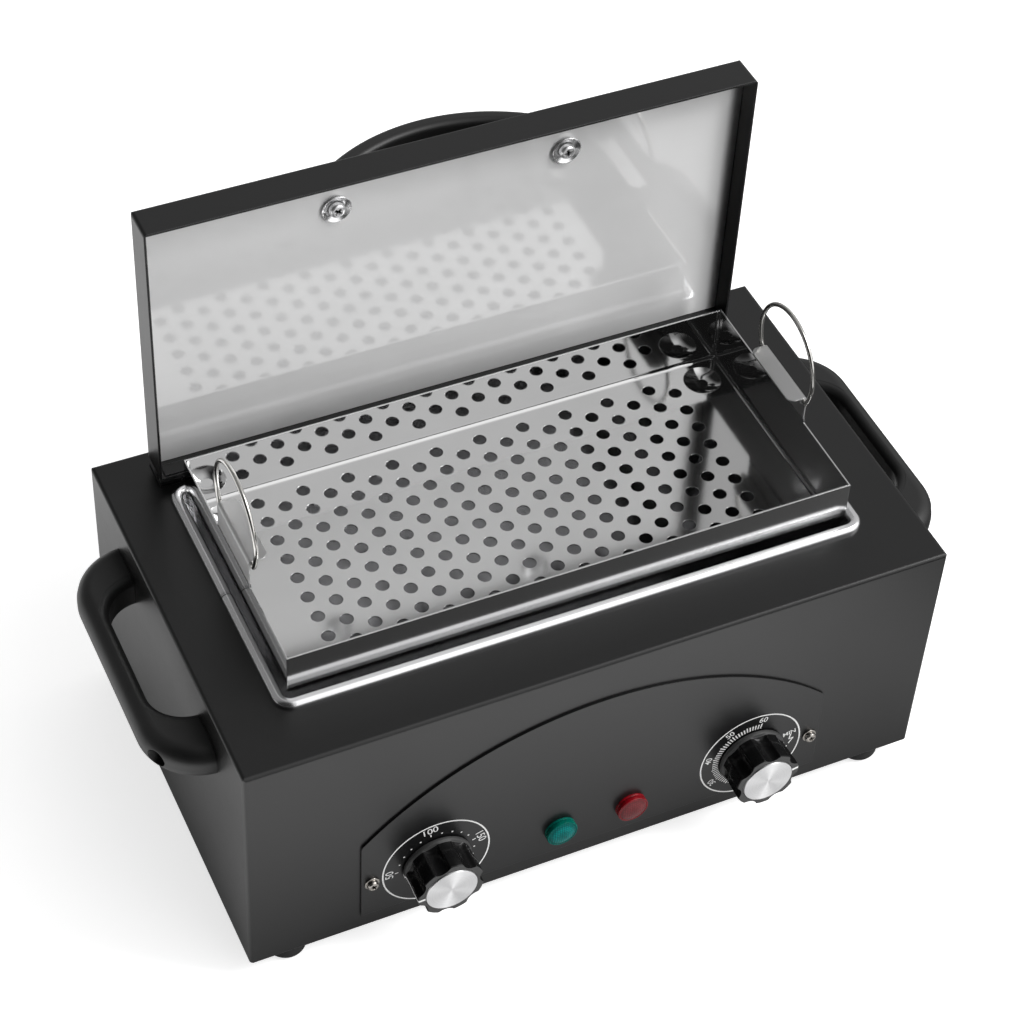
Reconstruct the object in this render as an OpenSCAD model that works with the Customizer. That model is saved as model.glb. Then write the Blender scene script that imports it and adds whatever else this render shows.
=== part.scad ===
// Dry heat sterilizer for small instruments, lid open and basket lifted.
// X runs to the right, Y to the back, Z up; the feet stand on z = 0.

/* [Case] */
// Width of the painted case without its handles
case_w = 320; // [300:1:340]
// Depth of the case from front to back
case_d = 186; // [180:2:200]
// Height of the case above its feet
case_h = 124; // [122:1:140]
// Thickness of the case sheet
sheet = 1; // [0.8:0.1:1.2]
// Outer radius of the folded edges
fold_r = 1.6; // [1.2:0.1:2.5]
// Height of the rubber feet
foot_h = 9; // [6:1:15]
// Diameter of the rubber feet
foot_d = 18; // [14:1:22]

/* [Chamber] */
// Clear width of the chamber mouth
mouth_w = 259.6; // [258.6:0.2:261]
// Clear depth of the chamber mouth from front to back
mouth_d = 123.8; // [123.2:0.2:125]
// Depth of the chamber below the case top
chamber_h = 69.5; // [69.5:0.5:72]
// Thickness of the chamber sheet
tub_t = 0.8; // [0.6:0.1:1]
// Width of the bright bead round the mouth
bead_w = 5; // [4.5:0.1:5]
// Height of the bead
bead_h = 3; // [2.8:0.1:3]

/* [Lid] */
// Width of the lid
lid_w = 273; // [272:1:275]
// Depth of the lid when closed
lid_d = 137; // [137:1:139]
// Thickness of the lid
lid_t = 16.5; // [16:0.5:20]
// Depth from the lid's edge to its bright liner
liner_recess = 9.7; // [9:0.1:10]
// Gap between the closed lid and the case top
lid_gap = 1; // [0.8:0.1:1.2]
// Angle that the lid stands open
lid_open = 90; // [0:1:90]
// Height of the lid handle above the lid
lid_handle_h = 27; // [20:0.1:28]

/* [Basket] */
// Width of the basket
basket_w = 256; // [254:1:256]
// Depth of the basket from front to back
basket_d = 119.6; // [118:0.2:120]
// Height of the basket walls
basket_h = 28.5; // [24:0.5:29]
// Thickness of the basket sheet
basket_t = 0.7; // [0.6:0.1:0.8]
// Height of the lifted basket's upper edge above the case top
basket_lift = 22; // [20:1:22]
// Diameter of the holes in the floor
hole_d = 6; // [4:0.5:7]
// Number of hole rows from left to right
hole_cols = 20; // [10:2:20]
// Number of holes in one row from front to back
hole_rows = 9; // [5:1:9]
// Radius of the wire rings at the middle of the wire
ring_r = 22.8; // [21.5:0.1:23]

/* [Controls] */
// Distance of each dial from the middle of the panel
dial_x = 75.3; // [60:0.1:80]
// Height of the dials above the case bottom
dial_up = 30.9; // [28:0.1:34]
// Diameter of the knobs at the skirt
knob_d = 31; // [26:1:34]
// Distance of each knob's face from the case front
knob_reach = 18; // [15:1:22]

/* [Side handles] */
// Distance that the handles stand out from the case
grip_out = 25.2; // [22:0.1:27]
// Height of the grips from their lower to their upper face
grip_h = 16.5; // [15:0.5:20]

/* [Hidden] */
$fn = 48;
eps = 0.01;

paint_black = [0.09, 0.09, 0.095];
plastic_black = [0.05, 0.05, 0.055];
steel = [0.78, 0.78, 0.8];
wire_steel = [0.7, 0.7, 0.72];
zinc = [0.72, 0.73, 0.72];
rubber_black = [0.04, 0.04, 0.04];
wool = [0.86, 0.84, 0.74];

z_case = foot_h;
z_top = foot_h + case_h;
front_y = -case_d/2;
back_y = case_d/2;

// Base plate and its flange
flange_w = 8;
base_gap = 0.3;
base_screw_x = 100;
base_screw_y = case_d/2 - sheet - flange_w/2;
base_end_x = case_w/2 - sheet - flange_w/2;
foot_x = case_w/2 - 19.5;
foot_y = case_d/2 - 10;
foot_round = 3;
foot_notch_d = 12;

// Chamber
bead_outer_r = 8;
mouth_r = bead_outer_r - bead_w;
bead_arc_r = bead_w/2;
bead_arc_up = bead_h - bead_arc_r;
flange_out = 4.2;
tub_low = z_top - chamber_h - tub_t;
heater_x = 85;
heater_y = 38;
stud_d = 4;
stud_len = 6.2;
heater_t = 1.5;
clamp_t = 1;
nut_h = 3.2;
nut_af = 7;
cutout_x = 42;
stud_x = -130;
stud_y = 40;
lead_d = 2.4;
lead_sides = 10;
wool_t = 10;
board_t = 3;
pocket_h = 6.5;
bulb_d = 6;
bulb_len = 74;
bulb_up = 12;
bulb_y = -(mouth_d/2 + tub_t + bulb_d/2 + 0.3);

// Hinge
axis_back = 2.2;
axis_y = lid_d/2 + axis_back;
axis_z = z_top + 3.5;
barrel_r = 2;
pin_d = 2;
pin_fit = 0.05;
hinge_x = 122;
hinge_len = 28;
knuckle = 9;
knuckle_gap = 0.3;
leaf_t = 0.8;
leaf_back = 15;
leaf_up = 12;
strip_w = 6.4;
strip_t = 0.6;
strip_len = 26;
strip_in = 1;

// Lid in its closed place
lid_low = z_top + lid_gap;
lid_high = lid_low + lid_t;
liner_t = 0.8;
liner_z = lid_low + liner_recess;
lid_handle_y = -49.5;
lid_screw_x = 51.9;
lid_handle_w = 14;
lid_handle_t = 8;
lid_handle_round = 3;
lid_arch_r = 84;
washer_r = 6.6;

// Basket
basket_y = 1;
basket_drop = 60;
basket_top = z_top + basket_lift;
basket_low = basket_top - basket_h;
floor_top = basket_low + basket_t;
hole_dx = 10.45;
hole_dy = 11.65;
dimple_x = 114.6;
dimple_y = 46.7;
dimple_r = 8.4;
dimple_bowl = 16;
dimple_depth = 2.2;
dimple_flat = 2.9;
wire_d = 2;
wire_fit = 0.06;
curl_in = wire_d/2 + wire_fit;
curl_out = curl_in + basket_t;
tab_up = 14.5;
tab_w = 36;
curl_z = basket_top + tab_up - curl_out;
curl_x = basket_w/2 - curl_out;
flap_len = 7.2;
flap_r = 3.5;
chord = 19.9;
ring_up = sqrt(ring_r*ring_r - chord*chord);
ring_turn = asin(ring_up/ring_r);

// Front panel and the controls behind it
panel_t = 1;
panel_x = -0.6;
panel_half = 109.5;
panel_low = z_case + 8.6;
panel_side = z_case + 57;
panel_arc_r = 153;
panel_arc_z = z_case + 101.7 - panel_arc_r;
panel_fillet = 4;
panel_face = front_y - panel_t;
panel_screw_x = 104.8;
panel_screw_z = z_case + 30;
dial_z = z_case + dial_up;
bushing_d = 9;
shaft_d = 6;
shaft_fit = 0.06;
knob_face = front_y - knob_reach;
knob_gap = 0.6;
skirt_t = 2;
knob_base_r = knob_d/2 - 0.6;
knob_top_r = knob_d/2 - 0.3;
knob_edge = 0.5;
flutes = 7;
flute_r = 5;
flute_at = 18;
stat_turn = 4.8;
timer_turn = 35;
cap_r = 11.7;
cap_t = 1.4;
cap_proud = 0.5;
lamp_green_x = -17.6;
lamp_red_x = 16.4;
lamp_z = z_case + 23;
lens_r = 7.2;
lens_base = 3.2;
lens_dome_r = 20.4;
lens_dome_up = 1.1;
stem_d = 9.6;
mount_screw_x = 14;

// Side handles
grip_z = z_case + 98;
grip_half = 63;
grip_corner = 27;
gap_half = 38.5;
gap_corner = 16.5;
grip_bar = 9.3;
grip_screw_y = 49;
recess_d = 8;
recess_floor = 8;
grip_round = 7;
gap_round = 4;
round_lap = 0.1;

// Power inlet
inlet_x = 110;
inlet_z = z_case + 34;
inlet_w = 27;
inlet_h = 20;
inlet_screw_x = 20;

module rounded_rect(w, d, r) {
  square([w - 2*r, d], center = true);
  square([w, d - 2*r], center = true);
  for (x = [-1, 1], y = [-1, 1])
    translate([x*(w/2 - r), y*(d/2 - r)]) circle(r = r);
}

// Upright section with its two upper corners rounded
module arched_section(w, h, r) {
  translate([-w/2, -1]) square([w, h - r + 1]);
  translate([-(w/2 - r), -1]) square([w - 2*r, h + 1]);
  for (x = [-1, 1])
    translate([x*(w/2 - r), h - r]) circle(r = r);
}

// Folded box, rounded on its upright and its upper edges
module folded_box(w, d, h, r) {
  intersection() {
    linear_extrude(h) rounded_rect(w, d, r);
    translate([-w/2 - 1, 0, 0]) rotate([90, 0, 90]) linear_extrude(w + 2) arched_section(d, h, r);
    translate([0, d/2 + 1, 0]) rotate([90, 0, 0]) linear_extrude(d + 2) arched_section(w, h, r);
  }
}

// Hole or rod along Y from y0 to y1
module rod_y(x, z, d, y0, y1) {
  translate([x, y1, z]) rotate([90, 0, 0]) cylinder(d = d, h = y1 - y0);
}

// Hole or rod along X from x0 to x1
module rod_x(y, z, d, x0, x1) {
  translate([x0, y, z]) rotate([0, 90, 0]) cylinder(d = d, h = x1 - x0);
}

module hex_nut(af, h, bore) {
  difference() {
    cylinder(d = af/cos(30), h = h, $fn = 6);
    translate([0, 0, -1]) cylinder(d = bore, h = h + 2);
  }
}

// Pan head with a cross recess, head up, its seat at z = 0
module pan_screw(head_d, head_h, d, len) {
  difference() {
    union() {
      cylinder(d = head_d, h = head_h*0.45);
      translate([0, 0, head_h*0.45]) cylinder(d1 = head_d, d2 = head_d*0.6, h = head_h*0.55);
    }
    for (a = [0, 90])
      rotate(a) translate([-head_d*0.27, -head_d*0.07, head_h*0.4])
        cube([head_d*0.54, head_d*0.14, head_h]);
  }
  translate([0, 0, -len]) cylinder(d = d, h = len + eps);
}

module flat_screw(head_d, d, len) {
  difference() {
    translate([0, 0, -head_d*0.28]) cylinder(d1 = d, d2 = head_d, h = head_d*0.28);
    for (a = [0, 90])
      rotate(a) translate([-head_d*0.25, -head_d*0.06, -0.8]) cube([head_d*0.5, head_d*0.12, 2]);
  }
  translate([0, 0, -len]) cylinder(d = d, h = len - head_d*0.28 + eps);
}

// Wire or tube through corner points, with balls in its bends
module bent_tube(points, d, sides = 24) {
  for (i = [0:len(points) - 2]) {
    step = points[i + 1] - points[i];
    reach = norm(step);
    translate(points[i]) rotate([0, acos(step[2]/reach), atan2(step[1], step[0])])
      cylinder(d = d, h = reach, $fn = sides);
  }
  for (i = [1:len(points) - 2])
    translate(points[i]) sphere(d = d*1.05, $fn = sides);
}

// Turns what is drawn in the closed lid to its open place
module on_lid() {
  translate([0, axis_y, axis_z]) rotate([-lid_open, 0, 0]) translate([0, -axis_y, -axis_z])
    children();
}

module base_screw_places() {
  for (x = [-base_screw_x, 0, base_screw_x], y = [-base_screw_y, base_screw_y])
    translate([x, y, 0]) children();
  for (x = [-base_end_x, base_end_x])
    translate([x, 0, 0]) children();
}

module foot_places() {
  for (x = [-foot_x, foot_x], y = [-foot_y, foot_y])
    translate([x, y, 0]) children();
}

module control_holes() {
  for (x = [-dial_x, dial_x])
    rod_y(panel_x + x, dial_z, bushing_d + 0.4, front_y - 3, front_y + 3);
  for (x = [lamp_green_x, lamp_red_x])
    rod_y(x, lamp_z, stem_d + 0.3, front_y - 3, front_y + 3);
  for (x = [-panel_screw_x, panel_screw_x])
    rod_y(panel_x + x, panel_screw_z, 3.4, front_y - 3, front_y + 3);
}

module case_shell() {
  inner_w = case_w - 2*sheet;
  inner_d = case_d - 2*sheet;
  color(paint_black) difference() {
    translate([0, 0, z_case]) folded_box(case_w, case_d, case_h, fold_r);
    difference() {
      translate([-inner_w/2, -inner_d/2, z_case - 1]) cube([inner_w, inner_d, case_h - sheet + 1]);
      difference() {
        translate([-case_w/2, -case_d/2, z_case + sheet]) cube([case_w, case_d, sheet]);
        translate([-inner_w/2 + flange_w, -inner_d/2 + flange_w, z_case])
          cube([inner_w - 2*flange_w, inner_d - 2*flange_w, 3*sheet]);
      }
    }
    translate([0, 0, z_top - 3]) linear_extrude(6)
      rounded_rect(mouth_w + 2*tub_t + 0.5, mouth_d + 2*tub_t + 0.5, mouth_r + tub_t);
    control_holes();
    for (x = [-dial_x, dial_x], s = [-mount_screw_x, mount_screw_x])
      translate([panel_x + x + s, front_y, dial_z]) rotate([90, 0, 0]) {
        translate([0, 0, -3]) cylinder(d = 4.1, h = 4);
        translate([0, 0, -sheet]) cylinder(d1 = 4.1, d2 = 6.6, h = sheet + eps);
      }
    for (s = [-1, 1], y = [-grip_screw_y, grip_screw_y])
      rod_x(y, grip_z, 4.4, s*case_w/2 - 3, s*case_w/2 + 3);
    translate([inlet_x - inlet_w/2 - 0.2, back_y - 3, inlet_z - inlet_h/2 - 0.2])
      cube([inlet_w + 0.4, 6, inlet_h + 0.4]);
    for (x = [-inlet_screw_x, inlet_screw_x])
      rod_y(inlet_x + x, inlet_z, 3.2, back_y - 3, back_y + 3);
    hinge_screw_places() translate([0, 0, -3]) cylinder(d = 3.3, h = 6);
    base_screw_places() translate([0, 0, z_case]) cylinder(d = 3.1, h = 4);
    foot_places() translate([0, 0, z_case]) cylinder(d = foot_notch_d, h = 3*sheet);
    for (i = [-5:5])
      translate([-40 + i*8, back_y - 3, z_case + 84]) cube([3, 6, 22]);
  }
}

module base_plate() {
  plate_w = case_w - 2*sheet - 2*base_gap;
  plate_d = case_d - 2*sheet - 2*base_gap;
  color(paint_black) difference() {
    translate([-plate_w/2, -plate_d/2, z_case]) cube([plate_w, plate_d, sheet]);
    base_screw_places() translate([0, 0, z_case - 1]) cylinder(d = 3.3, h = 4);
    foot_places() translate([0, 0, z_case - 1]) cylinder(d = 4.3, h = 4);
    translate([stud_x, stud_y, z_case - 1]) cylinder(d = 4.3, h = 4);
    for (i = [-6:6], y = [-18, 18])
      translate([i*12 - 2, y - 11, z_case - 1]) cube([4, 22, 4]);
  }
}

module base_screws() {
  color(zinc) base_screw_places()
    translate([0, 0, z_case]) rotate([180, 0, 0]) pan_screw(5.6, 2, 3, 6);
}

module feet() {
  color(rubber_black) foot_places() rotate_extrude() difference() {
    union() {
      translate([0, foot_round]) square([foot_d/2, foot_h - foot_round]);
      square([foot_d/2 - foot_round, foot_h]);
      translate([foot_d/2 - foot_round, foot_round]) circle(r = foot_round);
    }
    translate([-5, -1]) square([5, foot_h + 2]);
    translate([-1, -1]) square([3.15, foot_h + 2]);
    translate([-1, -1]) square([5.2, 4.5]);
  }
}

module foot_screws() {
  color(zinc) foot_places() translate([0, 0, 3.5]) rotate([180, 0, 0]) pan_screw(7.8, 2.4, 4, 12);
}

module foot_nuts() {
  color(zinc) foot_places() translate([0, 0, z_case + sheet]) hex_nut(nut_af, nut_h, 4.04);
}

module panel_outline() {
  fillet_x = panel_half - panel_fillet;
  fillet_z = panel_arc_z + sqrt(pow(panel_arc_r - panel_fillet, 2) - fillet_x*fillet_x);
  translate([-panel_half, panel_low]) square([2*panel_half, fillet_z - panel_low]);
  for (s = [-1, 1])
    translate([s*fillet_x, fillet_z]) circle(r = panel_fillet);
  intersection() {
    translate([0, panel_arc_z]) circle(r = panel_arc_r, $fn = 180);
    translate([0, panel_arc_z]) polygon([[0, 0], [-2*fillet_x, 2*(fillet_z - panel_arc_z)],
      [0, 2*panel_arc_r], [2*fillet_x, 2*(fillet_z - panel_arc_z)]]);
    translate([-panel_half, panel_low]) square([2*panel_half, case_h]);
  }
}

module control_panel() {
  color(paint_black) difference() {
    translate([panel_x, front_y, 0]) rotate([90, 0, 0]) linear_extrude(panel_t) panel_outline();
    control_holes();
  }
}

module panel_screws() {
  color(steel) for (x = [-panel_screw_x, panel_screw_x])
    translate([panel_x + x, panel_face - 0.8, panel_screw_z]) rotate([90, 0, 0])
      pan_screw(5.2, 2, 3, 8);
}

module panel_washers() {
  color(steel) for (x = [-panel_screw_x, panel_screw_x])
    difference() {
      rod_y(panel_x + x, panel_screw_z, 6.8, panel_face - 0.8, panel_face);
      rod_y(panel_x + x, panel_screw_z, 3.2, panel_face - 2, panel_face + 1);
    }
}

module chamber_tub() {
  outer_w = mouth_w + 2*tub_t;
  outer_d = mouth_d + 2*tub_t;
  color(steel) {
    difference() {
      union() {
        translate([0, 0, tub_low]) linear_extrude(z_top - tub_low + tub_t)
          rounded_rect(outer_w, outer_d, mouth_r + tub_t);
        translate([0, 0, z_top]) linear_extrude(tub_t)
          rounded_rect(mouth_w + 2*flange_out, mouth_d + 2*flange_out, mouth_r + flange_out);
      }
      translate([0, 0, tub_low + tub_t]) linear_extrude(chamber_h + 3)
        rounded_rect(mouth_w, mouth_d, mouth_r);
    }
    for (x = [-heater_x, heater_x], y = [-heater_y, heater_y])
      translate([x, y, tub_low - stud_len]) cylinder(d = stud_d, h = stud_len + tub_t/2);
  }
}

// Half-round bead section, measured outwards from the mouth
module bead_section() {
  difference() {
    union() {
      square([bead_w, bead_arc_up]);
      intersection() {
        translate([bead_arc_r, bead_arc_up]) circle(r = bead_arc_r);
        square([bead_w, bead_h]);
      }
    }
    translate([-1, -1]) square([flange_out + 1.02, tub_t + 1.02]);
  }
}

module chamber_rim() {
  run_x = mouth_w - 2*mouth_r;
  run_y = mouth_d - 2*mouth_r;
  color(steel) translate([0, 0, z_top]) difference() {
    union() {
      for (s = [0, 180]) {
        rotate(s) translate([-run_x/2, mouth_d/2, 0]) rotate([90, 0, 90])
          linear_extrude(run_x) bead_section();
        rotate(s) translate([mouth_w/2, run_y/2, 0]) rotate([90, 0, 0])
          linear_extrude(run_y) bead_section();
      }
      for (x = [-1, 1], y = [-1, 1])
        translate([x*run_x/2, y*run_y/2, 0]) rotate(atan2(y, x) - atan2(1, 1))
          rotate_extrude(angle = 90) translate([mouth_r, 0]) bead_section();
    }
    translate([-mouth_w/2 - bead_w - 1, -0.15, -1]) cube([bead_w + 2, 0.3, bead_h + 2]);
  }
}

module chamber_insulation() {
  gap = 0.3;
  sleeve_w = mouth_w + 2*(tub_t + gap);
  sleeve_d = mouth_d + 2*(tub_t + gap);
  color(wool) {
    difference() {
      translate([-sleeve_w/2 - wool_t, -sleeve_d/2 - wool_t, tub_low])
        cube([sleeve_w + 2*wool_t, sleeve_d + 2*wool_t, z_top - 3 - tub_low]);
      translate([-sleeve_w/2, -sleeve_d/2, tub_low - 1]) cube([sleeve_w, sleeve_d, case_h]);
      translate([-122, -sleeve_d/2 - wool_t - 1, tub_low + bulb_up - 5])
        cube([88, wool_t + 2, 10]);
    }
    difference() {
      translate([-112, -53, tub_low - pocket_h - board_t]) cube([224, 106, pocket_h + board_t]);
      translate([-107, -50, tub_low - pocket_h]) cube([214, 100, pocket_h + 1]);
      translate([-12, -6, tub_low - pocket_h - board_t - 1]) cube([24, 12, board_t + 2]);
      translate([cutout_x - 14, -14, tub_low - pocket_h - board_t - 1]) cube([28, 28, board_t + 2]);
    }
  }
}

module heater_holes() {
  for (x = [-heater_x, heater_x], y = [-heater_y, heater_y])
    translate([x, y, tub_low - 10]) cylinder(d = stud_d + 0.3, h = 12);
}

module heater_plate() {
  color([0.62, 0.55, 0.42]) {
    difference() {
      translate([-100, -46, tub_low - heater_t]) cube([200, 92, heater_t]);
      heater_holes();
    }
    for (x = [-8, 8])
      translate([x - 3, -0.4, tub_low - 16]) cube([6, 0.8, 16 - heater_t + eps]);
  }
}

module heater_clamp() {
  color(zinc) difference() {
    translate([-105, -48, tub_low - heater_t - clamp_t]) cube([210, 96, clamp_t]);
    heater_holes();
    translate([-12, -3, tub_low - 10]) cube([24, 6, 12]);
  }
}

module heater_nuts() {
  color(zinc) for (x = [-heater_x, heater_x], y = [-heater_y, heater_y])
    translate([x, y, tub_low - heater_t - clamp_t - nut_h]) hex_nut(nut_af, nut_h, stud_d + 0.06);
}

module thermal_cutout() {
  top = tub_low - heater_t - clamp_t;
  color([0.3, 0.2, 0.12]) translate([cutout_x, 0, top - 9]) cylinder(d = 16, h = 9);
  color(zinc) for (x = [-4, 4])
    translate([cutout_x + x - 2.5, -0.4, top - 17]) cube([5, 0.8, 8 + eps]);
}

module shaft_bore(x) {
  rod_y(x, dial_z, shaft_d + 2*shaft_fit, front_y - 6, front_y + 16);
}

module thermostat_body() {
  x = panel_x - dial_x;
  color(zinc) difference() {
    union() {
      translate([x - 20, front_y + sheet, dial_z - 16]) cube([40, 2, 32]);
      translate([x - 17, front_y + sheet + 2, dial_z - 16]) cube([34, 18, 32]);
      rod_y(x, dial_z, bushing_d, front_y - panel_t, front_y + 4);
      rod_y(x, dial_z, 26, front_y + sheet + 19, front_y + sheet + 27);
    }
    shaft_bore(x);
    for (s = [-mount_screw_x, mount_screw_x])
      rod_y(x + s, dial_z, 4.04, front_y, front_y + 9);
  }
}

module thermostat_bulb() {
  x = panel_x - dial_x;
  end_x = -116;
  z = tub_low + bulb_up;
  color([0.75, 0.48, 0.3]) {
    rod_x(bulb_y, z, bulb_d, end_x, end_x + bulb_len);
    bent_tube([[x + 8, front_y + 14, dial_z + 16], [x + 8, front_y + 14, z],
      [end_x - 3, front_y + 17, z], [end_x - 3, bulb_y, z], [end_x + 2, bulb_y, z]], 1.6);
  }
}

module timer_body() {
  x = panel_x + dial_x;
  color([0.82, 0.8, 0.72]) difference() {
    union() {
      translate([x - 22, front_y + sheet, dial_z - 18]) cube([44, 26, 36]);
      rod_y(x, dial_z, bushing_d, front_y - panel_t, front_y + 4);
      rod_y(x, dial_z, 30, front_y + sheet + 26 - eps, front_y + sheet + 34);
    }
    shaft_bore(x);
    for (s = [-mount_screw_x, mount_screw_x])
      rod_y(x + s, dial_z, 4.04, front_y, front_y + 9);
  }
}

module control_screws() {
  color(zinc) for (x = [-dial_x, dial_x], s = [-mount_screw_x, mount_screw_x])
    translate([panel_x + x + s, front_y, dial_z]) rotate([90, 0, 0]) {
      translate([0, 0, -8]) cylinder(d = 4, h = 8 - sheet + eps);
      translate([0, 0, -sheet]) cylinder(d1 = 4, d2 = 6.4, h = sheet);
    }
}

module lens(x) {
  translate([x, panel_face, lamp_z]) rotate([90, 0, 0]) {
    translate([0, 0, -6]) cylinder(d = stem_d, h = 6);
    cylinder(r = lens_r, h = lens_base);
    translate([0, 0, lens_base - eps]) intersection() {
      cylinder(r = lens_r - 0.6, h = 3);
      translate([0, 0, lens_dome_up - lens_dome_r]) sphere(r = lens_dome_r);
    }
  }
}

module green_lens() {
  color([0.05, 0.5, 0.42]) lens(lamp_green_x);
}

module red_lens() {
  color([0.65, 0.06, 0.12]) lens(lamp_red_x);
}

module lamp_holders() {
  color([0.9, 0.9, 0.88]) for (x = [lamp_green_x, lamp_red_x])
    difference() {
      rod_y(x, lamp_z, 13, front_y + sheet, front_y + 22);
      rod_y(x, lamp_z, stem_d + 0.1, front_y - 2, front_y + 6);
    }
}

// Section of a handle from its corner's centre outwards, its outer edges rounded
module grip_section() {
  flat = grip_h/2 - grip_round;
  translate([0, -grip_h/2]) square([grip_corner - grip_round, grip_h]);
  translate([0, -flat]) square([grip_corner, 2*flat]);
  for (z = [-1, 1])
    translate([grip_corner - grip_round, z*flat]) circle(r = grip_round);
}

// Section of the finger gap, flaring above and below where the grip's edges are rounded
module gap_section() {
  translate([0, -grip_h]) square([gap_corner, 2*grip_h]);
  for (z = [-1, 1])
    difference() {
      translate([gap_corner + gap_round/2 - 0.5, z*(grip_h/2 - gap_round/2 + 0.5)])
        square(gap_round + 1, center = true);
      translate([gap_corner + gap_round - round_lap, z*(grip_h/2 - gap_round - round_lap)])
        circle(r = gap_round);
    }
}

// Block of one section with two round ends, seen from above
module round_ended(x, half) {
  for (s = [-1, 1])
    translate([x, s*half, grip_z]) rotate_extrude() children();
  translate([x, half, grip_z]) rotate([90, 0, 0]) linear_extrude(2*half) children();
}

module side_handle() {
  grip_end = case_w/2 + grip_out;
  difference() {
    intersection() {
      round_ended(grip_end - grip_corner, grip_half - grip_corner) grip_section();
      translate([case_w/2, -grip_half - 1, grip_z - grip_h])
        cube([grip_out + 1, 2*grip_half + 2, 2*grip_h]);
    }
    round_ended(grip_end - grip_bar - gap_corner, gap_half - gap_corner) gap_section();
    for (y = [-grip_screw_y, grip_screw_y]) {
      rod_x(y, grip_z, recess_d, case_w/2 + recess_floor, grip_end + 2);
      rod_x(y, grip_z, 4.2, case_w/2 - 1, case_w/2 + recess_floor + 1);
    }
  }
}

module side_handle_left() {
  color(plastic_black) mirror([1, 0, 0]) side_handle();
}

module side_handle_right() {
  color(plastic_black) side_handle();
}

module handle_screws() {
  color(zinc) for (s = [0, 180], y = [-grip_screw_y, grip_screw_y])
    rotate(s) translate([case_w/2 + recess_floor, y, grip_z]) rotate([0, 90, 0])
      pan_screw(7.2, 2.6, 4, 14);
}

module handle_nuts() {
  color(zinc) for (s = [0, 180], y = [-grip_screw_y, grip_screw_y])
    rotate(s) translate([case_w/2 - sheet - nut_h, y, grip_z]) rotate([0, 90, 0])
      hex_nut(nut_af, nut_h, 4.04);
}

module hinge_screw_places() {
  for (s = [-1, 1], x = [-8, 8])
    translate([s*hinge_x + x, axis_y + 9, z_top]) children();
}

// Two outer knuckles standing on a plate that lies on the case
module hinge_bases() {
  end = (hinge_len - knuckle)/2 - knuckle_gap;
  color(paint_black) for (s = [-1, 1])
    difference() {
      union() {
        translate([s*hinge_x - hinge_len/2, axis_y - 1, z_top]) cube([hinge_len, leaf_back, 1]);
        for (k = [0, 1])
          translate([s*hinge_x - hinge_len/2 + k*(hinge_len - end), 0, 0]) {
            translate([0, axis_y - 1, z_top + eps]) cube([end, 2, axis_z - z_top]);
            rod_x(axis_y, axis_z, 2*barrel_r, 0, end);
          }
      }
      rod_x(axis_y, axis_z, pin_d, s*hinge_x - 20, s*hinge_x + 20);
      hinge_screw_places() {
        translate([0, 0, -1]) cylinder(d = 3.3, h = 4);
        translate([0, 0, 0.1]) cylinder(d1 = 3.3, d2 = 5.6, h = 0.91);
      }
    }
}

module hinge_base_screws() {
  color(zinc) hinge_screw_places() {
    translate([0, 0, -5]) cylinder(d = 3.1, h = 5.2);
    translate([0, 0, 0.15]) cylinder(d1 = 3.1, d2 = 5.2, h = 0.8);
  }
}

module hinge_pins() {
  color(steel) for (s = [-1, 1])
    rod_x(axis_y, axis_z, pin_d, s*hinge_x - hinge_len/2, s*hinge_x + hinge_len/2);
}

module lid_hinge_leaves() {
  color(paint_black) on_lid() for (s = [-1, 1])
    difference() {
      union() {
        rod_x(axis_y, axis_z, 2*barrel_r, s*hinge_x - knuckle/2, s*hinge_x + knuckle/2);
        translate([s*hinge_x - knuckle/2, lid_d/2, axis_z]) cube([knuckle, leaf_t, leaf_up]);
        translate([s*hinge_x - hinge_len/2, lid_d/2, axis_z + barrel_r + 0.6])
          cube([hinge_len, leaf_t, leaf_up - barrel_r - 0.6]);
      }
      rod_x(axis_y, axis_z, pin_d + 2*pin_fit, s*hinge_x - 20, s*hinge_x + 20);
    }
}

module lid_hinge_strips() {
  color(paint_black) on_lid() for (s = [-1, 1])
    translate([s*(hinge_x - strip_in) - strip_len/2, lid_d/2 - sheet - strip_t, lid_low + 0.8])
      cube([strip_len, strip_t, strip_w]);
}

module lid_screw_places() {
  for (x = [-lid_screw_x, lid_screw_x])
    translate([x, lid_handle_y, 0]) children();
}

module lid_cover() {
  color(paint_black) on_lid() difference() {
    translate([0, 0, lid_low]) folded_box(lid_w, lid_d, lid_t, fold_r);
    translate([-lid_w/2 + sheet, -lid_d/2 + sheet, lid_low - 1])
      cube([lid_w - 2*sheet, lid_d - 2*sheet, lid_t - sheet + 1]);
    lid_screw_places() translate([0, 0, lid_high - 3]) cylinder(d = 4.4, h = 6);
  }
}

module lid_liner() {
  color(steel) on_lid() difference() {
    translate([-lid_w/2 + sheet + 0.2, -lid_d/2 + sheet + 0.2, liner_z])
      cube([lid_w - 2*sheet - 0.4, lid_d - 2*sheet - 0.4, liner_t]);
    lid_screw_places() translate([0, 0, liner_z - 1]) cylinder(d = 4.4, h = 4);
  }
}

module lid_insulation() {
  low = liner_z + liner_t;
  color(wool) on_lid() difference() {
    translate([-lid_w/2 + 3, -lid_d/2 + 3, low]) cube([lid_w - 6, lid_d - 6, lid_high - sheet - low]);
    lid_screw_places() translate([0, 0, low - 1]) cylinder(d = 6, h = 10);
  }
}

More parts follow.
